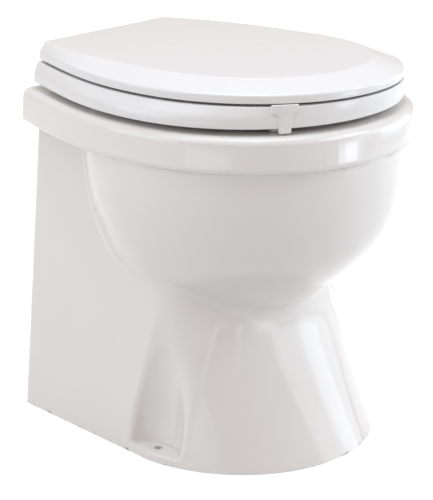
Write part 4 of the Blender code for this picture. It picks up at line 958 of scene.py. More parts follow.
def hinge_notches(piece, other, low_z, high_z):
    """Clears the hinge posts and the other flap's lugs from a piece's back edge."""
    behind = AXIS_Y + 0.012
    for side, _, post, lugs in hinge_places():
        x0, x1 = spanned(side, post - HALF_POST, post + HALF_POST)
        for_post = block("notch", (x0, AXIS_Y - 0.011, SEAT_LOW - OVERRUN), (x1, behind, LID_TOP + OVERRUN))
        x0, x1 = spanned(side, lugs[other] - SIDE_GAP, lugs[other] + LUG + SIDE_GAP)
        for_lug = block("notch", (x0, AXIS_Y - 0.0085, low_z), (x1, behind, high_z))
        boolean(piece, "DIFFERENCE", for_post, for_lug)


def seat(settings):
    """The seat ring, with rounded edges outside and at its hole."""
    low_edge, bulge_z = SEAT_LOW + 0.0015, SEAT_LOW + 0.0100
    under, corner = (flat_ring(FOOT_SHAPE, inset, low_edge) for inset in (settings.foot_round, 0))
    foot = flat_ring(FOOT_SHAPE, 0, low_edge + settings.foot_round)
    bulge, brink = flat_ring(BULGE_SHAPE, 0, bulge_z), flat_ring(TOP_SHAPE, 0, SEAT_TOP)
    rings = [flat_ring(FOOT_SHAPE, 0.010, SEAT_LOW)]
    rings += curve_through(under, corner, foot, 6)
    rings += list(curve_through(foot, bulge, mixed_ring(bulge, brink, 0.45), 6))[1:]
    share = 1 - settings.edge_round / (SEAT_TOP - bulge_z)
    flat = flat_ring(TOP_SHAPE, settings.edge_round, SEAT_TOP)
    rings += curve_through(mixed_ring(bulge, brink, share), brink, flat, 6)
    centre_y, across, front, rear = -0.030, 0.100, 0.112, 0.105
    turns = [math.atan2(y - centre_y, x) for x, y, _ in brink]

    def hole(grow, height):
        ring = []
        for turn in turns:
            reach = rear if math.sin(turn) > 0 else front
            away = 1 / math.hypot(math.cos(turn) / (across + grow), math.sin(turn) / (reach + grow))
            ring.append((away * math.cos(turn), centre_y + away * math.sin(turn), height))
        return ring

    lip = 0.0045
    curve = [math.radians(90) * i / 6 for i in range(7)]
    top = [(lip * (1 - math.sin(a)), SEAT_TOP - lip + lip * math.cos(a)) for a in curve]
    bottom = [(grow, SEAT_LOW + SEAT_TOP - z) for grow, z in reversed(top)]
    rings += [hole(grow, z) for grow, z in top + bottom]
    made = mesh_object("seat_ring", skin(rings, around=True), "seat_plastic")
    hinge_notches(made, "lid", AXIS_Z - 0.0075, LID_TOP)
    hinge_lugs(made, "seat", AXIS_Z - 0.012, AXIS_Z)
    finish_piece(made, "seat", "seat_plastic", "seat")


def curve_through(first, corner, last, steps):
    """Rings along a soft corner between two rings, by way of a third."""
    for i in range(steps + 1):
        t = i / steps
        yield [
            tuple((1 - t) ** 2 * a + 2 * t * (1 - t) * b + t * t * c for a, b, c in zip(p, q, r))
            for p, q, r in zip(first, corner, last)
        ]


def mixed_ring(first, second, share):
    return [tuple(a + (b - a) * share for a, b in zip(p, q)) for p, q in zip(first, second)]


def lid(settings):
    """The lid: a low shell whose bevel is wide in front and fades to the back."""
    edge = LID_LOW + 0.008
    top = LID_TOP - settings.crown
    centre = (0, -0.010)

    def outline(inset, height):
        return flat_ring(LID_SHAPE, inset, height)

    def plateau(inset, height):
        return flat_ring(LID_SHAPE, 0.030 + inset, height, 0.004 + inset)

    radius = settings.lid_round
    rim, brink = outline(0, edge), plateau(0, top)
    slope_in, slope_out = mixed_ring(rim, brink, 0.07), mixed_ring(rim, brink, 0.93)
    wall_top = outline(0, edge - 0.0022)
    flat = plateau(0.0030, top + settings.crown * 0.06)
    inner_top = LID_TOP - 0.005
    inner_rim, inner_brink = outline(0.004, edge - radius), plateau(0.005, inner_top - settings.crown)
    rings = []
    for share in (0.02, 0.5, 0.85):
        rings.append(towards(inner_brink, centre, share, inner_top - settings.crown * share**2))
    rings += [inner_brink, inner_rim, outline(0.004, LID_LOW + 0.001), outline(0.003, LID_LOW)]
    rings += [outline(inset, LID_LOW + drop) for inset, drop in reversed(list(arc_steps(radius, 4)))]
    rings += list(curve_through(wall_top, rim, slope_in, 6))
    rings += list(curve_through(slope_out, brink, flat, 7))
    for share in (0.90, 0.75, 0.55, 0.35, 0.18, 0.06, 0.01):
        rings.append(towards(brink, centre, share, LID_TOP - settings.crown * share**2))
    made = mesh_object("lid_shell", skin(rings), "seat_plastic")
    hinge_lugs(made, "lid", AXIS_Z, AXIS_Z + 0.016)
    hinge_notches(made, "seat", SEAT_LOW, AXIS_Z + 0.0075)
    finish_piece(made, "lid", "seat_plastic", "lid", sharp=40)


def seat_edge(turn):
    """The seat's front edge where its outward normal is turned from -Y towards -X."""
    across, reach = SEAT_HALF, WIDEST_Y - SEAT_FRONT
    ratio = (math.tan(turn) * (across / reach) ** SEAT_POWER) ** (1 / (SEAT_POWER - 1))
    forward = (1 / ((ratio / across) ** SEAT_POWER + (1 / reach) ** SEAT_POWER)) ** (1 / SEAT_POWER)
    return Vector((-ratio * forward, WIDEST_Y - forward, 0))


def lift_tab():
    """The T-shaped tab that lifts the seat, with fillets at the roots of its finger."""
    turn = math.radians(38)
    place = Matrix.Translation(seat_edge(turn)) @ Matrix.Rotation(-turn, 4, "Z")
    top, bottom = high("seat_lift_tab").z, low("seat_lift_tab").z
    split, half, finger, fillet = top - 0.0085, 0.013, 0.006, 0.0045
    right = [(half, top), (half, split)]
    for i in range(7):
        a = math.radians(90) * i / 6
        right.append((finger + fillet - fillet * math.sin(a), split - fillet + fillet * math.cos(a)))
    for i in range(5):
        a = math.radians(90) * i / 4
        right.append((finger - 0.0015 + 0.0015 * math.cos(a), bottom + 0.0015 - 0.0015 * math.sin(a)))
    outline = right + [(-x, z) for x, z in reversed(right)]
    rings = [[place @ Vector((x, y, z)) for x, z in outline] for y in (-0.0033, -GAP)]
    made = bevelled(mesh_object("lift_tab", skin(rings), "seat_plastic"), 0.0007)
    finish_piece(made, "seat", "seat_plastic", "seat_lift_tab")


def bevelled(obj, width, segments=3):
    modifier = obj.modifiers.new("bevel", "BEVEL")
    modifier.width = width
    modifier.segments = segments
    modifier.limit_method = "ANGLE"
    modifier.angle_limit = math.radians(30)
    return obj


def bevel_now(obj, width):
    """Bevels a piece at once, so that a Boolean can follow."""
    bake(bevelled(obj, width))
    return obj


def pads():
    """Soft pads under the seat and the lid."""
    for name in [node for node in frame["nodes"] if "bumper" in node]:
        centre, bottom, top = middle(name), low(name), high(name)
        radius = (top.x - bottom.x) / 2
        pad = upright(f"pad_{name}", radius, centre.x, centre.y, bottom.z, top.z, "clear_buffer")
        bevelled(pad, 0.0009)
        finish_piece(pad, "lid" if name.startswith("lid") else "seat", "clear_buffer", name)


def softened(points, radius, closed=True):
    """Rounds a profile's corners by a radius, or by what its sides allow."""
    points = [Vector(point) for point in points]
    made = []
    for i, here in enumerate(points):
        if not closed and i in (0, len(points) - 1):
            made.append(here)
            continue
        before, after = points[i - 1] - here, points[(i + 1) % len(points)] - here
        reach = min(radius, before.length * 0.4, after.length * 0.4)
        first, last = here + before.normalized() * reach, here + after.normalized() * reach
        for step in range(5):
            t = step / 4
            made.append((1 - t) ** 2 * first + 2 * t * (1 - t) * here + t * t * last)
    return made


TURNS = {
    "X": Matrix.Rotation(math.radians(90), 4, "Y"),
    "Y": Matrix.Rotation(math.radians(-90), 4, "X"),
    "Z": Matrix.Identity(4),
}


def turned(name, profile, start, along, slot=None, rounding=0.0006, sides=72):
    """A turned piece from radius and height pairs: down its outside, and up its bore if it has one."""
    ring = profile[0][0] > 0
    points = softened(profile, rounding, ring)
    bm = bmesh.new()
    loops = []
    for radius, height in points:
        turns = [2 * math.pi * i / sides for i in range(sides if radius > 1e-6 else 1)]
        loops.append([bm.verts.new((radius * math.cos(a), radius * math.sin(a), height)) for a in turns])
    for upper, lower in zip(loops, loops[1:] + (loops[:1] if ring else [])):
        for i in range(sides):
            j = (i + 1) % sides
            corners = []
            for loop, k in ((upper, i), (upper, j), (lower, j), (lower, i)):
                corner = loop[k % len(loop)]
                if corner not in corners:
                    corners.append(corner)
            if len(corners) > 2:
                bm.faces.new(corners)
    bmesh.ops.recalc_face_normals(bm, faces=bm.faces)
    bmesh.ops.transform(bm, verts=bm.verts, matrix=Matrix.Translation(start) @ TURNS[along])
    return mesh_object(name, bm, slot)


def hinges():
    """Posts with their studs, pins, washers and wing nuts."""
    for _, name, *_ in hinge_places():
        start, end = low(f"hinge_post_{name}"), high(f"hinge_post_{name}")
        x, foot = (start.x + end.x) / 2, RIM_TOP + GAP
        post = block(f"post_{name}", (start.x, start.y, foot), (end.x, end.y, foot + 0.0028), "hinge_plastic")
        bevel_now(post, 0.0009)
        stem = block("stem", (x - 0.008, AXIS_Y - 0.006, foot + 0.001), (x + 0.008, AXIS_Y + 0.006, AXIS_Z))
        barrel = on_axis("barrel", 0.007, x - 0.008, x + 0.008)
        stud = upright("stud", 0.004, x, STUD_Y, start.z, foot + 0.001)
        boolean(post, "UNION", stem, barrel, stud)
        boolean(post, "DIFFERENCE", on_axis("bore", PIN_BORE, x - 0.02, x + 0.02))
        finish_piece(bevelled(post, 0.0004, 2), "toilet", "hinge_plastic", f"hinge_post_{name}")

        start, end = low(f"hinge_pin_{name}"), high(f"hinge_pin_{name}")
        pin = bevelled(on_axis(f"pin_{name}", 0.003, start.x, end.x, "stainless"), 0.0006)
        finish_piece(pin, "toilet", "stainless", f"hinge_pin_{name}")

        ring = [(0.013, 0.004), (0.013, 0), (STUD_BORE, 0), (STUD_BORE, 0.004)]
        place = (x, STUD_Y, low(f"hinge_washer_{name}").z)
        washer = turned(f"washer_{name}", ring, place, "Z", "black_rubber")
        finish_piece(washer, "toilet", "black_rubber", f"hinge_washer_{name}")

        z = low(f"hinge_nut_{name}").z
        nut = upright(f"nut_{name}", 0.008, x, STUD_Y, z, z + 0.009, "hinge_plastic")
        wings = block("wings", (x - 0.016, STUD_Y - 0.002, z + GAP), (x + 0.016, STUD_Y + 0.002, z + 0.007))
        boolean(nut, "UNION", bevel_now(wings, 0.0012))
        boolean(nut, "DIFFERENCE", upright("thread", STUD_BORE, x, STUD_Y, z - OVERRUN, z + 0.015))
        finish_piece(bevelled(nut, 0.0004, 2), "toilet", "hinge_plastic", f"hinge_nut_{name}")


def pipe_tree():
    """Geometry Nodes that draw a round rod along a line of points, each with its own reach."""
    growth = Growth("pipe_along_line", Line="Geometry", Sides="Int")
    reach = growth.attribute("reach", "FLOAT")
    line = growth.add("GeometryNodeMeshToCurve", inputs={"Mesh": growth.given["Line"]})
    line = growth.add("GeometryNodeSetCurveRadius", inputs={"Curve": line, "Radius": reach})
    sides = {"Resolution": growth.given["Sides"], "Radius": 1.0}
    circle = growth.add("GeometryNodeCurvePrimitiveCircle", inputs=sides)
    inputs = {"Curve": line, "Profile Curve": circle, "Fill Caps": True}
    made = growth.add("GeometryNodeCurveToMesh", inputs=inputs)
    if "Scale" in made.socket.node.inputs:
        growth.feed(made.socket.node.inputs["Scale"], reach)
    growth.end(made)
    return growth


def grown(obj, growth, **values):
    """Runs a Geometry Nodes tree on an object, and keeps the result as its plain mesh."""
    modifier = obj.modifiers.new("grow", "NODES")
    modifier.node_group = growth.tree
    for label, value in values.items():
        modifier[growth.keys[label]] = value
    obj.update_tag()
    made = bake(obj)
    bm = bmesh.new()
    bm.from_mesh(made)
    bmesh.ops.remove_doubles(bm, verts=bm.verts, dist=0.00001)
    bmesh.ops.recalc_face_normals(bm, faces=bm.faces)
    bm.to_mesh(made)
    bm.free()
    return obj


PIPE = {}


def pipe(name, stations, slot="black_rubber", sides=48):
    """A round rod through stations: pairs of a point and its radius."""
    if not PIPE:
        PIPE["tree"] = pipe_tree()
    mesh = bpy.data.meshes.new(name)
    mesh.from_pydata([tuple(p) for p, _ in stations], [(i, i + 1) for i in range(len(stations) - 1)], [])
    mesh.attributes.new("reach", "FLOAT", "POINT").data.foreach_set("value", [r for _, r in stations])
    return grown(placed(name, mesh), PIPE["tree"], Sides=sides, Finish=MATERIALS[slot])


def bend_stations(start, corner, end, bend, radius, extra=0.0, barbs=(), steps=14):
    """Stations of a rod with one rounded corner, and hose barbs before its end."""
    start, corner, end = Vector(start), Vector(corner), Vector(end)
    first, second = (corner - start).normalized(), (end - corner).normalized()
    centre = corner + bend * (second - first)
    stations = [(start - extra * first, radius)]
    for i in range(steps + 1):
        a = math.radians(90) * i / steps
        stations.append((centre + bend * (math.sin(a) * first - math.cos(a) * second), radius))
    for back, rise, length in barbs:
        foot = end - second * back
        stations += [(foot - second * 0.0001, radius), (foot, radius + rise)]
        stations.append((foot + second * length, radius))
    stations.append((end + extra * second, radius))
    return stations


def tube(name, slot, outer, bore, line, bend, barbs=()):
    """A pipe along a line with one bend, and the cutter for its bore."""
    made = pipe(name, bend_stations(*line, bend, outer, 0.0, barbs), slot)
    return made, pipe(f"{name}_bore", bend_stations(*line, bend, bore, OVERRUN), slot)


def outlet():
    """The rubber elbow under the bowl, and its two band clamps."""
    far = high("outlet_elbow")
    line = (0, OUTLET_Y, far.z), (0, OUTLET_Y, PUMP_Z), (0, far.y, PUMP_Z)
    made, bore = tube("rubber_elbow", "black_rubber", 0.0308, 0.0263, line, 0.036)
    boolean(made, "DIFFERENCE", bore)
    finish_piece(bevelled(made, 0.0008), "toilet", "black_rubber", "outlet_elbow")
    ring = [(0.0323, 0.009), (0.0323, 0), (0.0311, 0), (0.0311, 0.009)]
    size, half_worm = Vector((0.005, 0.0042, 0.0042)), Vector((0.0078, 0, 0))
    for label, start, along, out in (
        ("upper", (0, OUTLET_Y, low("outlet_clamp_upper").z), "Z", Vector((0, 1, 0))),
        ("lower", (0, low("outlet_clamp_lower").y, PUMP_Z), "Y", Vector((0, 0, 1))),
    ):
        band = turned(f"clamp_{label}", ring, start, along, "stainless", 0.0003)
        way = TURNS[along] @ Vector((0, 0, 1))
        centre = Vector(start) + way * 0.0045 + out * 0.0360
        box = bevel_now(block("clamp_box", centre - size, centre + size), 0.0008)
        boolean(band, "UNION", box, rod("worm", 0.003, centre - half_worm, centre + half_worm, sides=32))
        slot_low = centre + Vector((0.0068, -0.0035, -0.0035))
        slot_high = centre + Vector((0.009, 0.0035, 0.0035))
        axis = {"Z": 2, "Y": 1}[along]
        slot_low[axis], slot_high[axis] = centre[axis] - 0.0005, centre[axis] + 0.0005
        boolean(band, "DIFFERENCE", block("slot", slot_low, slot_high))
        finish_piece(band, "toilet", "stainless", f"outlet_clamp_{label}")


def macerator():
    """The chopper chamber with its cover and its flanged port."""
    start, chamber = low("macerator_cover").y, low("macerator_housing").y
    ring = [(0.052, 0.030), (0.052, 0.024), (0.026, 0.024), (0.026, 0), (0.020, 0), (0.020, 0.030)]
    cover = turned("cover", ring, (0, start, PUMP_Z), "Y", "pump_plastic", 0.0012, 96)
    ring = [(0.046, 0.036), (0.046, 0.005), (0.052, 0.005), (0.052, 0), (0.040, 0), (0.040, 0.027)]
    ring += [(0.0083, 0.027), (0.0083, 0.036)]
    housing = turned("housing", ring, (0, chamber, PUMP_Z), "Y", "pump_plastic", 0.0012, 96)
    port_y, foot = middle("joker_valve").y, 0.043
    reach = low("joker_valve").x - GAP - foot
    profile = [(0, reach), (0.022, reach), (0.022, reach - 0.004), (0.013, reach - 0.004), (0.013, 0), (0, 0)]
    boolean(housing, "UNION", turned("port", profile, (foot, port_y, PUMP_Z), "X"))
    boolean(housing, "DIFFERENCE", rod("port_bore", 0.010, (0.034, port_y, PUMP_Z), (0.080, port_y, PUMP_Z)))
    for i in range(4):
        turn = math.radians(45 + 90 * i)
        x, z = 0.0485 * math.cos(turn), PUMP_Z + 0.0485 * math.sin(turn)
        for piece in (cover, housing):
            screw_hole(piece, (x, start + 0.02, z), (x, chamber + 0.012, z))
    valve_screw_holes(housing)
    finish_piece(cover, "toilet", "pump_plastic", "macerator_cover")
    finish_piece(housing, "toilet", "pump_plastic", "macerator_housing")


def valve_screw_holes(*pieces):
    """The two holes through which screws hold the elbow and the valve to the port."""
    port_y = middle("joker_valve").y
    for z in (PUMP_Z - 0.017, PUMP_Z + 0.017):
        for piece in pieces:
            screw_hole(piece, (0.046, port_y, z), (0.080, port_y, z))


def discharge():
    """The one-way valve and the elbow for the discharge hose."""
    start, port_y = low("joker_valve").x, middle("joker_valve").y
    profile = [(0.004, 0.012), (0.007, 0.003), (0.022, 0.003), (0.022, 0), (0.0052, 0), (0.0022, 0.012)]
    valve = turned("duckbill", profile, (start, port_y, PUMP_Z), "X", "black_rubber", 0.0003)
    face, corner_x, end_y = (start + 0.003 + GAP, port_y, PUMP_Z), 0.080, high("discharge_elbow").y
    line = face, (corner_x, port_y, PUMP_Z), (corner_x, end_y, PUMP_Z)
    barbs = [(0.014, 0.0015, 0.006), (0.007, 0.0015, 0.006)]
    made, bore = tube("elbow", "pump_plastic", 0.012, 0.0085, line, 0.014, barbs)
    boolean(made, "UNION", turned("flange", [(0, 0.004), (0.022, 0.004), (0.022, 0), (0, 0)], face, "X"))
    boolean(made, "DIFFERENCE", bore)
    valve_screw_holes(made, valve)
    finish_piece(made, "toilet", "pump_plastic", "discharge_elbow")
    finish_piece(valve, "toilet", "black_rubber", "joker_valve")


def motor():
    """The motor's can and end cap, and the gland that takes its cable."""
    start, cap_start = low("motor_can").y, low("motor_end_cap").y
    length = high("motor_can").y - start
    ring = [(0.039, length), (0.039, 0), (0.0098, 0), (0.0098, 0.008), (0.036, 0.008), (0.036, length)]
    can = turned("can", ring, (0, start, PUMP_Z), "Y", "motor_paint", 0.0015, 128)
    finish_piece(can, "toilet", "motor_paint", "motor_can")
    profile = [(0, 0.012), (0.036, 0.012), (0.039, 0.009), (0.039, 0), (0.0098, 0)]
    profile += [(0.0098, 0.0063), (0, 0.0063)]
    cap = turned("cap", profile, (0, cap_start, PUMP_Z), "Y", "motor_paint", 0.0012, 128)
    cable_x = 0.020
    ends = (cable_x, cap_start - OVERRUN, PUMP_Z), (cable_x, cap_start + 0.02, PUMP_Z)
    boolean(cap, "DIFFERENCE", rod("hole", 0.003, *ends))
    finish_piece(cap, "toilet", "motor_paint", "motor_end_cap")
    ring = [(0.0055, 0.012), (0.007, 0.0105), (0.007, 0), (0.003, 0), (0.003, 0.012)]
    place = (cable_x, low("cable_gland").y, PUMP_Z)
    gland = turned("gland", ring, place, "Y", "pump_plastic", 0.0005)
    finish_piece(gland, "toilet", "pump_plastic", "cable_gland")


def arc(radius, first, last, steps):
    for i in range(steps + 1):
        turn = first + (last - first) * i / steps
        yield radius * math.cos(turn), PUMP_Z + radius * math.sin(turn)


def named(start):
    """The frame's nodes whose names start so."""
    return [name for name in frame["nodes"] if name.startswith(start)]


def pump_base():
    """The base plate with its saddles, the feet and the motor's two straps."""
    lowest, highest = low("pump_base_plate"), high("pump_base_plate")
    top = lowest.z + 0.004
    plate = bevel_now(block("plate", lowest, (highest.x, highest.y, top), "base_plastic"), 0.0008)
    for name in ("front", "rear"):
        y = middle(f"motor_strap_{name}").y
        saddle = block("saddle", (-0.030, y - 0.007, top - 0.002), (0.030, y + 0.007, highest.z + 0.010))
        boolean(plate, "UNION", saddle)
    inner, outer = 0.0393, 0.0408
    ends = (0, lowest.y - OVERRUN, PUMP_Z), (0, highest.y + OVERRUN, PUMP_Z)
    higher = block("higher", (-0.1, -0.1, highest.z), (0.1, 0.3, highest.z + 0.05))
    boolean(plate, "DIFFERENCE", rod("saddle_cut", inner, *ends, sides=128), higher)
    ear_z = top + GAP
    ear_top = ear_z + 0.0015
    for name in ("front", "rear"):
        start, end = low(f"motor_strap_{name}"), high(f"motor_strap_{name}")
        ear = end.x
        outline = [(ear, ear_z), (ear, ear_top), (outer, ear_top), *arc(outer, 0, math.pi, 48)]
        outline += [(-outer, ear_top), (-ear, ear_top), (-ear, ear_z), (-inner, ear_z)]
        outline += [*arc(inner, math.pi, 0, 48), (inner, ear_z)]
        rings = [[(x, y, z) for x, z in outline] for y in (start.y, end.y)]
        strap = mesh_object(f"strap_{name}", skin(rings), "stainless")
        y = (start.y + end.y) / 2
        for x in (0.006 - ear, ear - 0.006):
            for piece in (strap, plate):
                screw_hole(piece, (x, y, lowest.z - OVERRUN), (x, y, top + 0.012))
        finish_piece(bevelled(strap, 0.0003, 2), "toilet", "stainless", f"motor_strap_{name}")
    finish_piece(plate, "toilet", "base_plastic", "pump_base_plate")
    for name in named("base_foot"):
        centre = middle(name)
        foot = upright(f"pad_{name}", 0.009, centre.x, centre.y, 0, high(name).z, "black_rubber")
        finish_piece(bevelled(foot, 0.0007), "toilet", "black_rubber", name)


def rinse():
    """The elbow that brings the rinse water."""
    start, end, z = low("rinse_elbow"), high("rinse_elbow"), middle("rinse_seal").z
    corner_y = end.y - 0.006 - 0.001
    line = (0, start.y, z), (0, corner_y, z), (0, corner_y, start.z)
    barbs = [(0.010, 0.001, 0.004), (0.005, 0.001, 0.004)]
    made, bore = tube("rinse_pipe", "pump_plastic", 0.006, 0.004, line, 0.009, barbs)
    profile, place = [(0, 0.003), (0.012, 0.003), (0.012, 0), (0, 0)], (0, high("rinse_seal").y + GAP, z)
    boolean(made, "UNION", turned("collar", profile, place, "Y", None, 0.0005))
    boolean(made, "DIFFERENCE", bore)
    finish_piece(made, "toilet", "pump_plastic", "rinse_elbow")


def screw_tree():
    """Geometry Nodes that stand a screw on each point, its head along the point's aim."""
    growth = Growth("screws_on_points", Points="Geometry", Screw="Object")
    aim = growth.attribute("aim", "FLOAT_VECTOR")
    turn = growth.add("FunctionNodeAlignRotationToVector", {"axis": "Z"}, {"Vector": aim})
    screw = growth.add("GeometryNodeObjectInfo", inputs={"Object": growth.given["Screw"]}, output="Geometry")
    stood = {"Points": growth.given["Points"], "Instance": screw, "Rotation": turn}
    growth.end(growth.add("GeometryNodeInstanceOnPoints", inputs=stood))
    return growth


def screws():
    """All the pan-head screws: a cross-slotted head at each node's own place, with its own length."""
    growth = screw_tree()
    for kind, aim in (("cover", (0, -1, 0)), ("elbow", (1, 0, 0)), ("strap", (0, 0, 1))):
        aim = Vector(aim)
        label, names = f"{kind}_screws", named(f"{kind}_screw")
        length = abs((high(names[0]) - low(names[0])).dot(aim))
        profile = [(0, 0), (0.0026, 0), (0.0035, -0.0009), (0.0035, -0.003), (0.0018, -0.003)]
        profile += [(0.0018, -length), (0, -length)]
        pattern = turned(f"{label}_pattern", profile, (0, 0, 0), "Z", None, 0.0004, 32)
        for x, y in ((0.0018, 0.0004), (0.0004, 0.0018)):
            boolean(pattern, "DIFFERENCE", block("cross", (-x, -y, -0.0012), (x, y, 0.001)))
        mesh = bpy.data.meshes.new(label)
        mesh.from_pydata([tuple(middle(name) + aim * length / 2) for name in names], [], [])
        aims = [channel for _ in names for channel in aim]
        mesh.attributes.new("aim", "FLOAT_VECTOR", "POINT").data.foreach_set("vector", aims)
        obj = grown(placed(label, mesh), growth, Screw=pattern, Finish=MATERIALS["stainless"])
        bpy.data.objects.remove(pattern)
        finish_piece(obj, "toilet", "stainless", *names)


def carried_over():
    """Gives the CAD nodes that no finer piece stands for their procedural finish."""
    slots = {part["node"]: part["material_slot"] for part in frame["record"]["subparts"]}
    for name, node in frame["nodes"].items():
        finish = MATERIALS[slots[name]]
        if node.data.materials:
            node.data.materials[0] = finish
        else:
            node.data.materials.append(finish)


# Softboxes round the object: direction from +Y and height in degrees, then distance, size and watts.
SOFTBOXES = (
    ("left_back", -60, 15, 2.0, 1.4, 0.9, 6.9),
    ("left_high", -70, 50, 2.0, 1.2, 0.9, 4.6),
    ("right_low", 113, 7, 1.7, 1.2, 0.7, 4.0),
    ("right_mid", 135, 10, 1.8, 1.2, 0.7, 3.5),
    ("right_front", 150, 35, 2.0, 1.2, 0.8, 9.6),
    ("top", 0, 90, 2.0, 1.5, 1.5, 18.6),
)
# Low windows that the rim's band mirrors: place, aim, size, watts and the beam's spread.
WINDOWS = (
    ("window_left", (-1.11, -0.25, 0.165), (-0.147, -0.11, 0.335), 0.60, 0.19, 0.35, 180),
    ("window_right", (0.41, -1.06, 0.165), (-0.046, -0.19, 0.338), 0.34, 0.17, 0.030, 34),
)


def lamp(name, place, aim, width, height, power, colour=(1, 1, 1), spread=180):
    """A softbox: an area light at a place, turned to face another."""
    light = bpy.data.lights.new(name, "AREA")
    light.shape = "RECTANGLE"
    light.size, light.size_y = width, height
    light.energy = power
    light.color = colour
    light.spread = math.radians(spread)
    obj = placed(name, light)
    obj.location = place
    obj.rotation_euler = (Vector(aim) - Vector(place)).to_track_quat("-Z", "Y").to_euler()
    obj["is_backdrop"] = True


def stage(settings):
    scene = bpy.context.scene
    camera_data = bpy.data.cameras.new("photo_camera")
    camera_data.sensor_width = SENSOR
    camera_data.lens = settings.focal_pixels / PHOTO_HEIGHT * SENSOR
    camera_data.clip_end = 50
    camera = placed("photo_camera", camera_data)
    camera.location = (settings.camera_x, settings.camera_y, settings.camera_z)
    camera.rotation_euler = (math.radians(90) - settings.drop, 0, settings.turn)
    camera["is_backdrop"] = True
    scene.camera = camera
    scene.view_settings.view_transform = "Standard"

    bm = bmesh.new()
    bmesh.ops.create_grid(bm, x_segments=1, y_segments=1, size=12)
    floor = mesh_object("floor", bm)
    floor.location.z = -0.0006
    finish = Finish("floor", settings.floor, 0.9)
    finish.set("Roughness", 0.85 + finish.noise(3.0) * 0.1)
    finish.set("Emission Color", finish.seen_directly() * settings.floor_glow)
    finish.set("Emission Strength", 1.0)
    floor.data.materials.append(finish.material)
    floor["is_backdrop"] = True

    world = bpy.data.worlds.new("studio")
    scene.world = world
    world.use_nodes = True
    back = world.node_tree.nodes["Background"]
    back.inputs["Color"].default_value = (*settings.surround, 1)
    back.inputs["Strength"].default_value = settings.surround_level
    object_middle = Vector((0, 0, 0.22))
    for name, azimuth, height, away, width, tall, power in SOFTBOXES:
        turn, rise = math.radians(azimuth), math.radians(height)
        aim = Vector((math.cos(rise) * math.sin(turn), math.cos(rise) * math.cos(turn), math.sin(rise)))
        lamp(name, object_middle + aim * away, object_middle, width, tall, power, settings.lamps)
    for name, place, aim, width, tall, power, spread in WINDOWS:
        lamp(name, place, aim, width, tall, power, settings.lamps, spread)


class TOILET_OT_china(bpy.types.Operator):
    """Build the glazed casting"""

    bl_idname = "toilet.china"
    bl_label = "China"

    def execute(self, context):
        china(context.scene.toilet_china)
        return {"FINISHED"}


class TOILET_OT_seat(bpy.types.Operator):
    """Build the seat with its lift tab"""

    bl_idname = "toilet.seat"
    bl_label = "Seat and tab"

    def execute(self, context):
        seat(context.scene.toilet_seat)
        lift_tab()
        return {"FINISHED"}


class TOILET_OT_lid(bpy.types.Operator):
    """Build the lid"""

    bl_idname = "toilet.lid"
    bl_label = "Lid"

    def execute(self, context):
        lid(context.scene.toilet_seat)
        return {"FINISHED"}


class TOILET_OT_pads(bpy.types.Operator):
    """Build the soft pads under the seat and the lid"""

    bl_idname = "toilet.pads"
    bl_label = "Pads"

    def execute(self, context):
        pads()
        return {"FINISHED"}


class TOILET_OT_hinges(bpy.types.Operator):
    """Build the hinge posts, pins, washers and wing nuts"""

    bl_idname = "toilet.hinges"
    bl_label = "Hinges"

    def execute(self, context):
        hinges()
        return {"FINISHED"}


class TOILET_OT_outlet(bpy.types.Operator):
    """Build the rubber elbow and its clamps"""

    bl_idname = "toilet.outlet"
    bl_label = "Outlet elbow"

    def execute(self, context):
        outlet()
        return {"FINISHED"}


class TOILET_OT_macerator(bpy.types.Operator):
    """Build the chopper chamber, the valve and the discharge elbow"""

    bl_idname = "toilet.macerator"
    bl_label = "Macerator"

    def execute(self, context):
        macerator()
        discharge()
        return {"FINISHED"}


class TOILET_OT_motor(bpy.types.Operator):
    """Build the motor, its base and its straps"""

    bl_idname = "toilet.motor"
    bl_label = "Motor and base"

    def execute(self, context):
        motor()
        pump_base()
        return {"FINISHED"}


class TOILET_OT_rinse(bpy.types.Operator):
    """Build the rinse elbow"""

    bl_idname = "toilet.rinse"
    bl_label = "Rinse elbow"

    def execute(self, context):
        rinse()
        return {"FINISHED"}


class TOILET_OT_screws(bpy.types.Operator):
    """Stand a screw at each of the screws' places"""

    bl_idname = "toilet.screws"
    bl_label = "Screws"

    def execute(self, context):
        screws()
        return {"FINISHED"}


class TOILET_OT_finishes(bpy.types.Operator):
    """Make the materials, and paint the CAD pieces that are carried over"""

    bl_idname = "toilet.finishes"
    bl_label = "Finishes"

    def execute(self, context):
        make_materials(context.scene)
        carried_over()
        return {"FINISHED"}


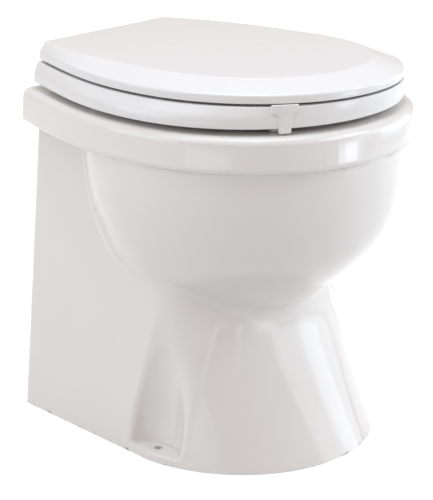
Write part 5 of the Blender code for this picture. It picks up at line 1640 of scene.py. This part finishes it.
class TOILET_OT_stage(bpy.types.Operator):
    """Set the camera, the floor and the lights"""

    bl_idname = "toilet.stage"
    bl_label = "Stage"

    def execute(self, context):
        stage(context.scene.toilet_stage)
        return {"FINISHED"}


STEPS = (
    TOILET_OT_finishes, TOILET_OT_china, TOILET_OT_seat, TOILET_OT_lid, TOILET_OT_pads, TOILET_OT_hinges,
    TOILET_OT_outlet, TOILET_OT_macerator, TOILET_OT_motor, TOILET_OT_rinse, TOILET_OT_screws,
    TOILET_OT_stage,
)
SETTINGS = {
    "toilet_china": ToiletChina,
    "toilet_seat": ToiletSeat,
    "toilet_pump": ToiletPump,
    "toilet_stage": ToiletStage,
}


class TOILET_PT_sizes(bpy.types.Panel):
    """Sizes, colours and the steps of the build"""

    bl_idname = "TOILET_PT_sizes"
    bl_label = "Marine toilet"
    bl_space_type = "VIEW_3D"
    bl_region_type = "UI"
    bl_category = "Toilet"

    def draw(self, context):
        layout = self.layout
        for name in SETTINGS:
            group = getattr(context.scene, name)
            box = layout.box()
            box.label(text=name.replace("toilet_", "").capitalize())
            for key in group.__annotations__:
                box.prop(group, key)
        for step in STEPS:
            layout.operator(step.bl_idname)


def register():
    for group in SETTINGS.values():
        bpy.utils.register_class(group)
    for name, group in SETTINGS.items():
        setattr(bpy.types.Scene, name, bpy.props.PointerProperty(type=group))
    for step in STEPS:
        bpy.utils.register_class(step)
    bpy.utils.register_class(TOILET_PT_sizes)


def unregister():
    bpy.utils.unregister_class(TOILET_PT_sizes)
    for step in reversed(STEPS):
        bpy.utils.unregister_class(step)
    for name in SETTINGS:
        delattr(bpy.types.Scene, name)
    for group in reversed(list(SETTINGS.values())):
        bpy.utils.unregister_class(group)


def write_sizes(before, after):
    sizes = {"cad_bounds_m": before, "dressed_bounds_m": after}
    {key: [[round(float(v), 5) for v in corner] for corner in box] for key, box in sizes.items()}


def main():
    register()
    for step in STEPS:
        area, name = step.bl_idname.split(".")
        getattr(getattr(bpy.ops, area), name)()
    write_sizes(CAD_BOX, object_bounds())


if __name__ == "__main__":
    main()
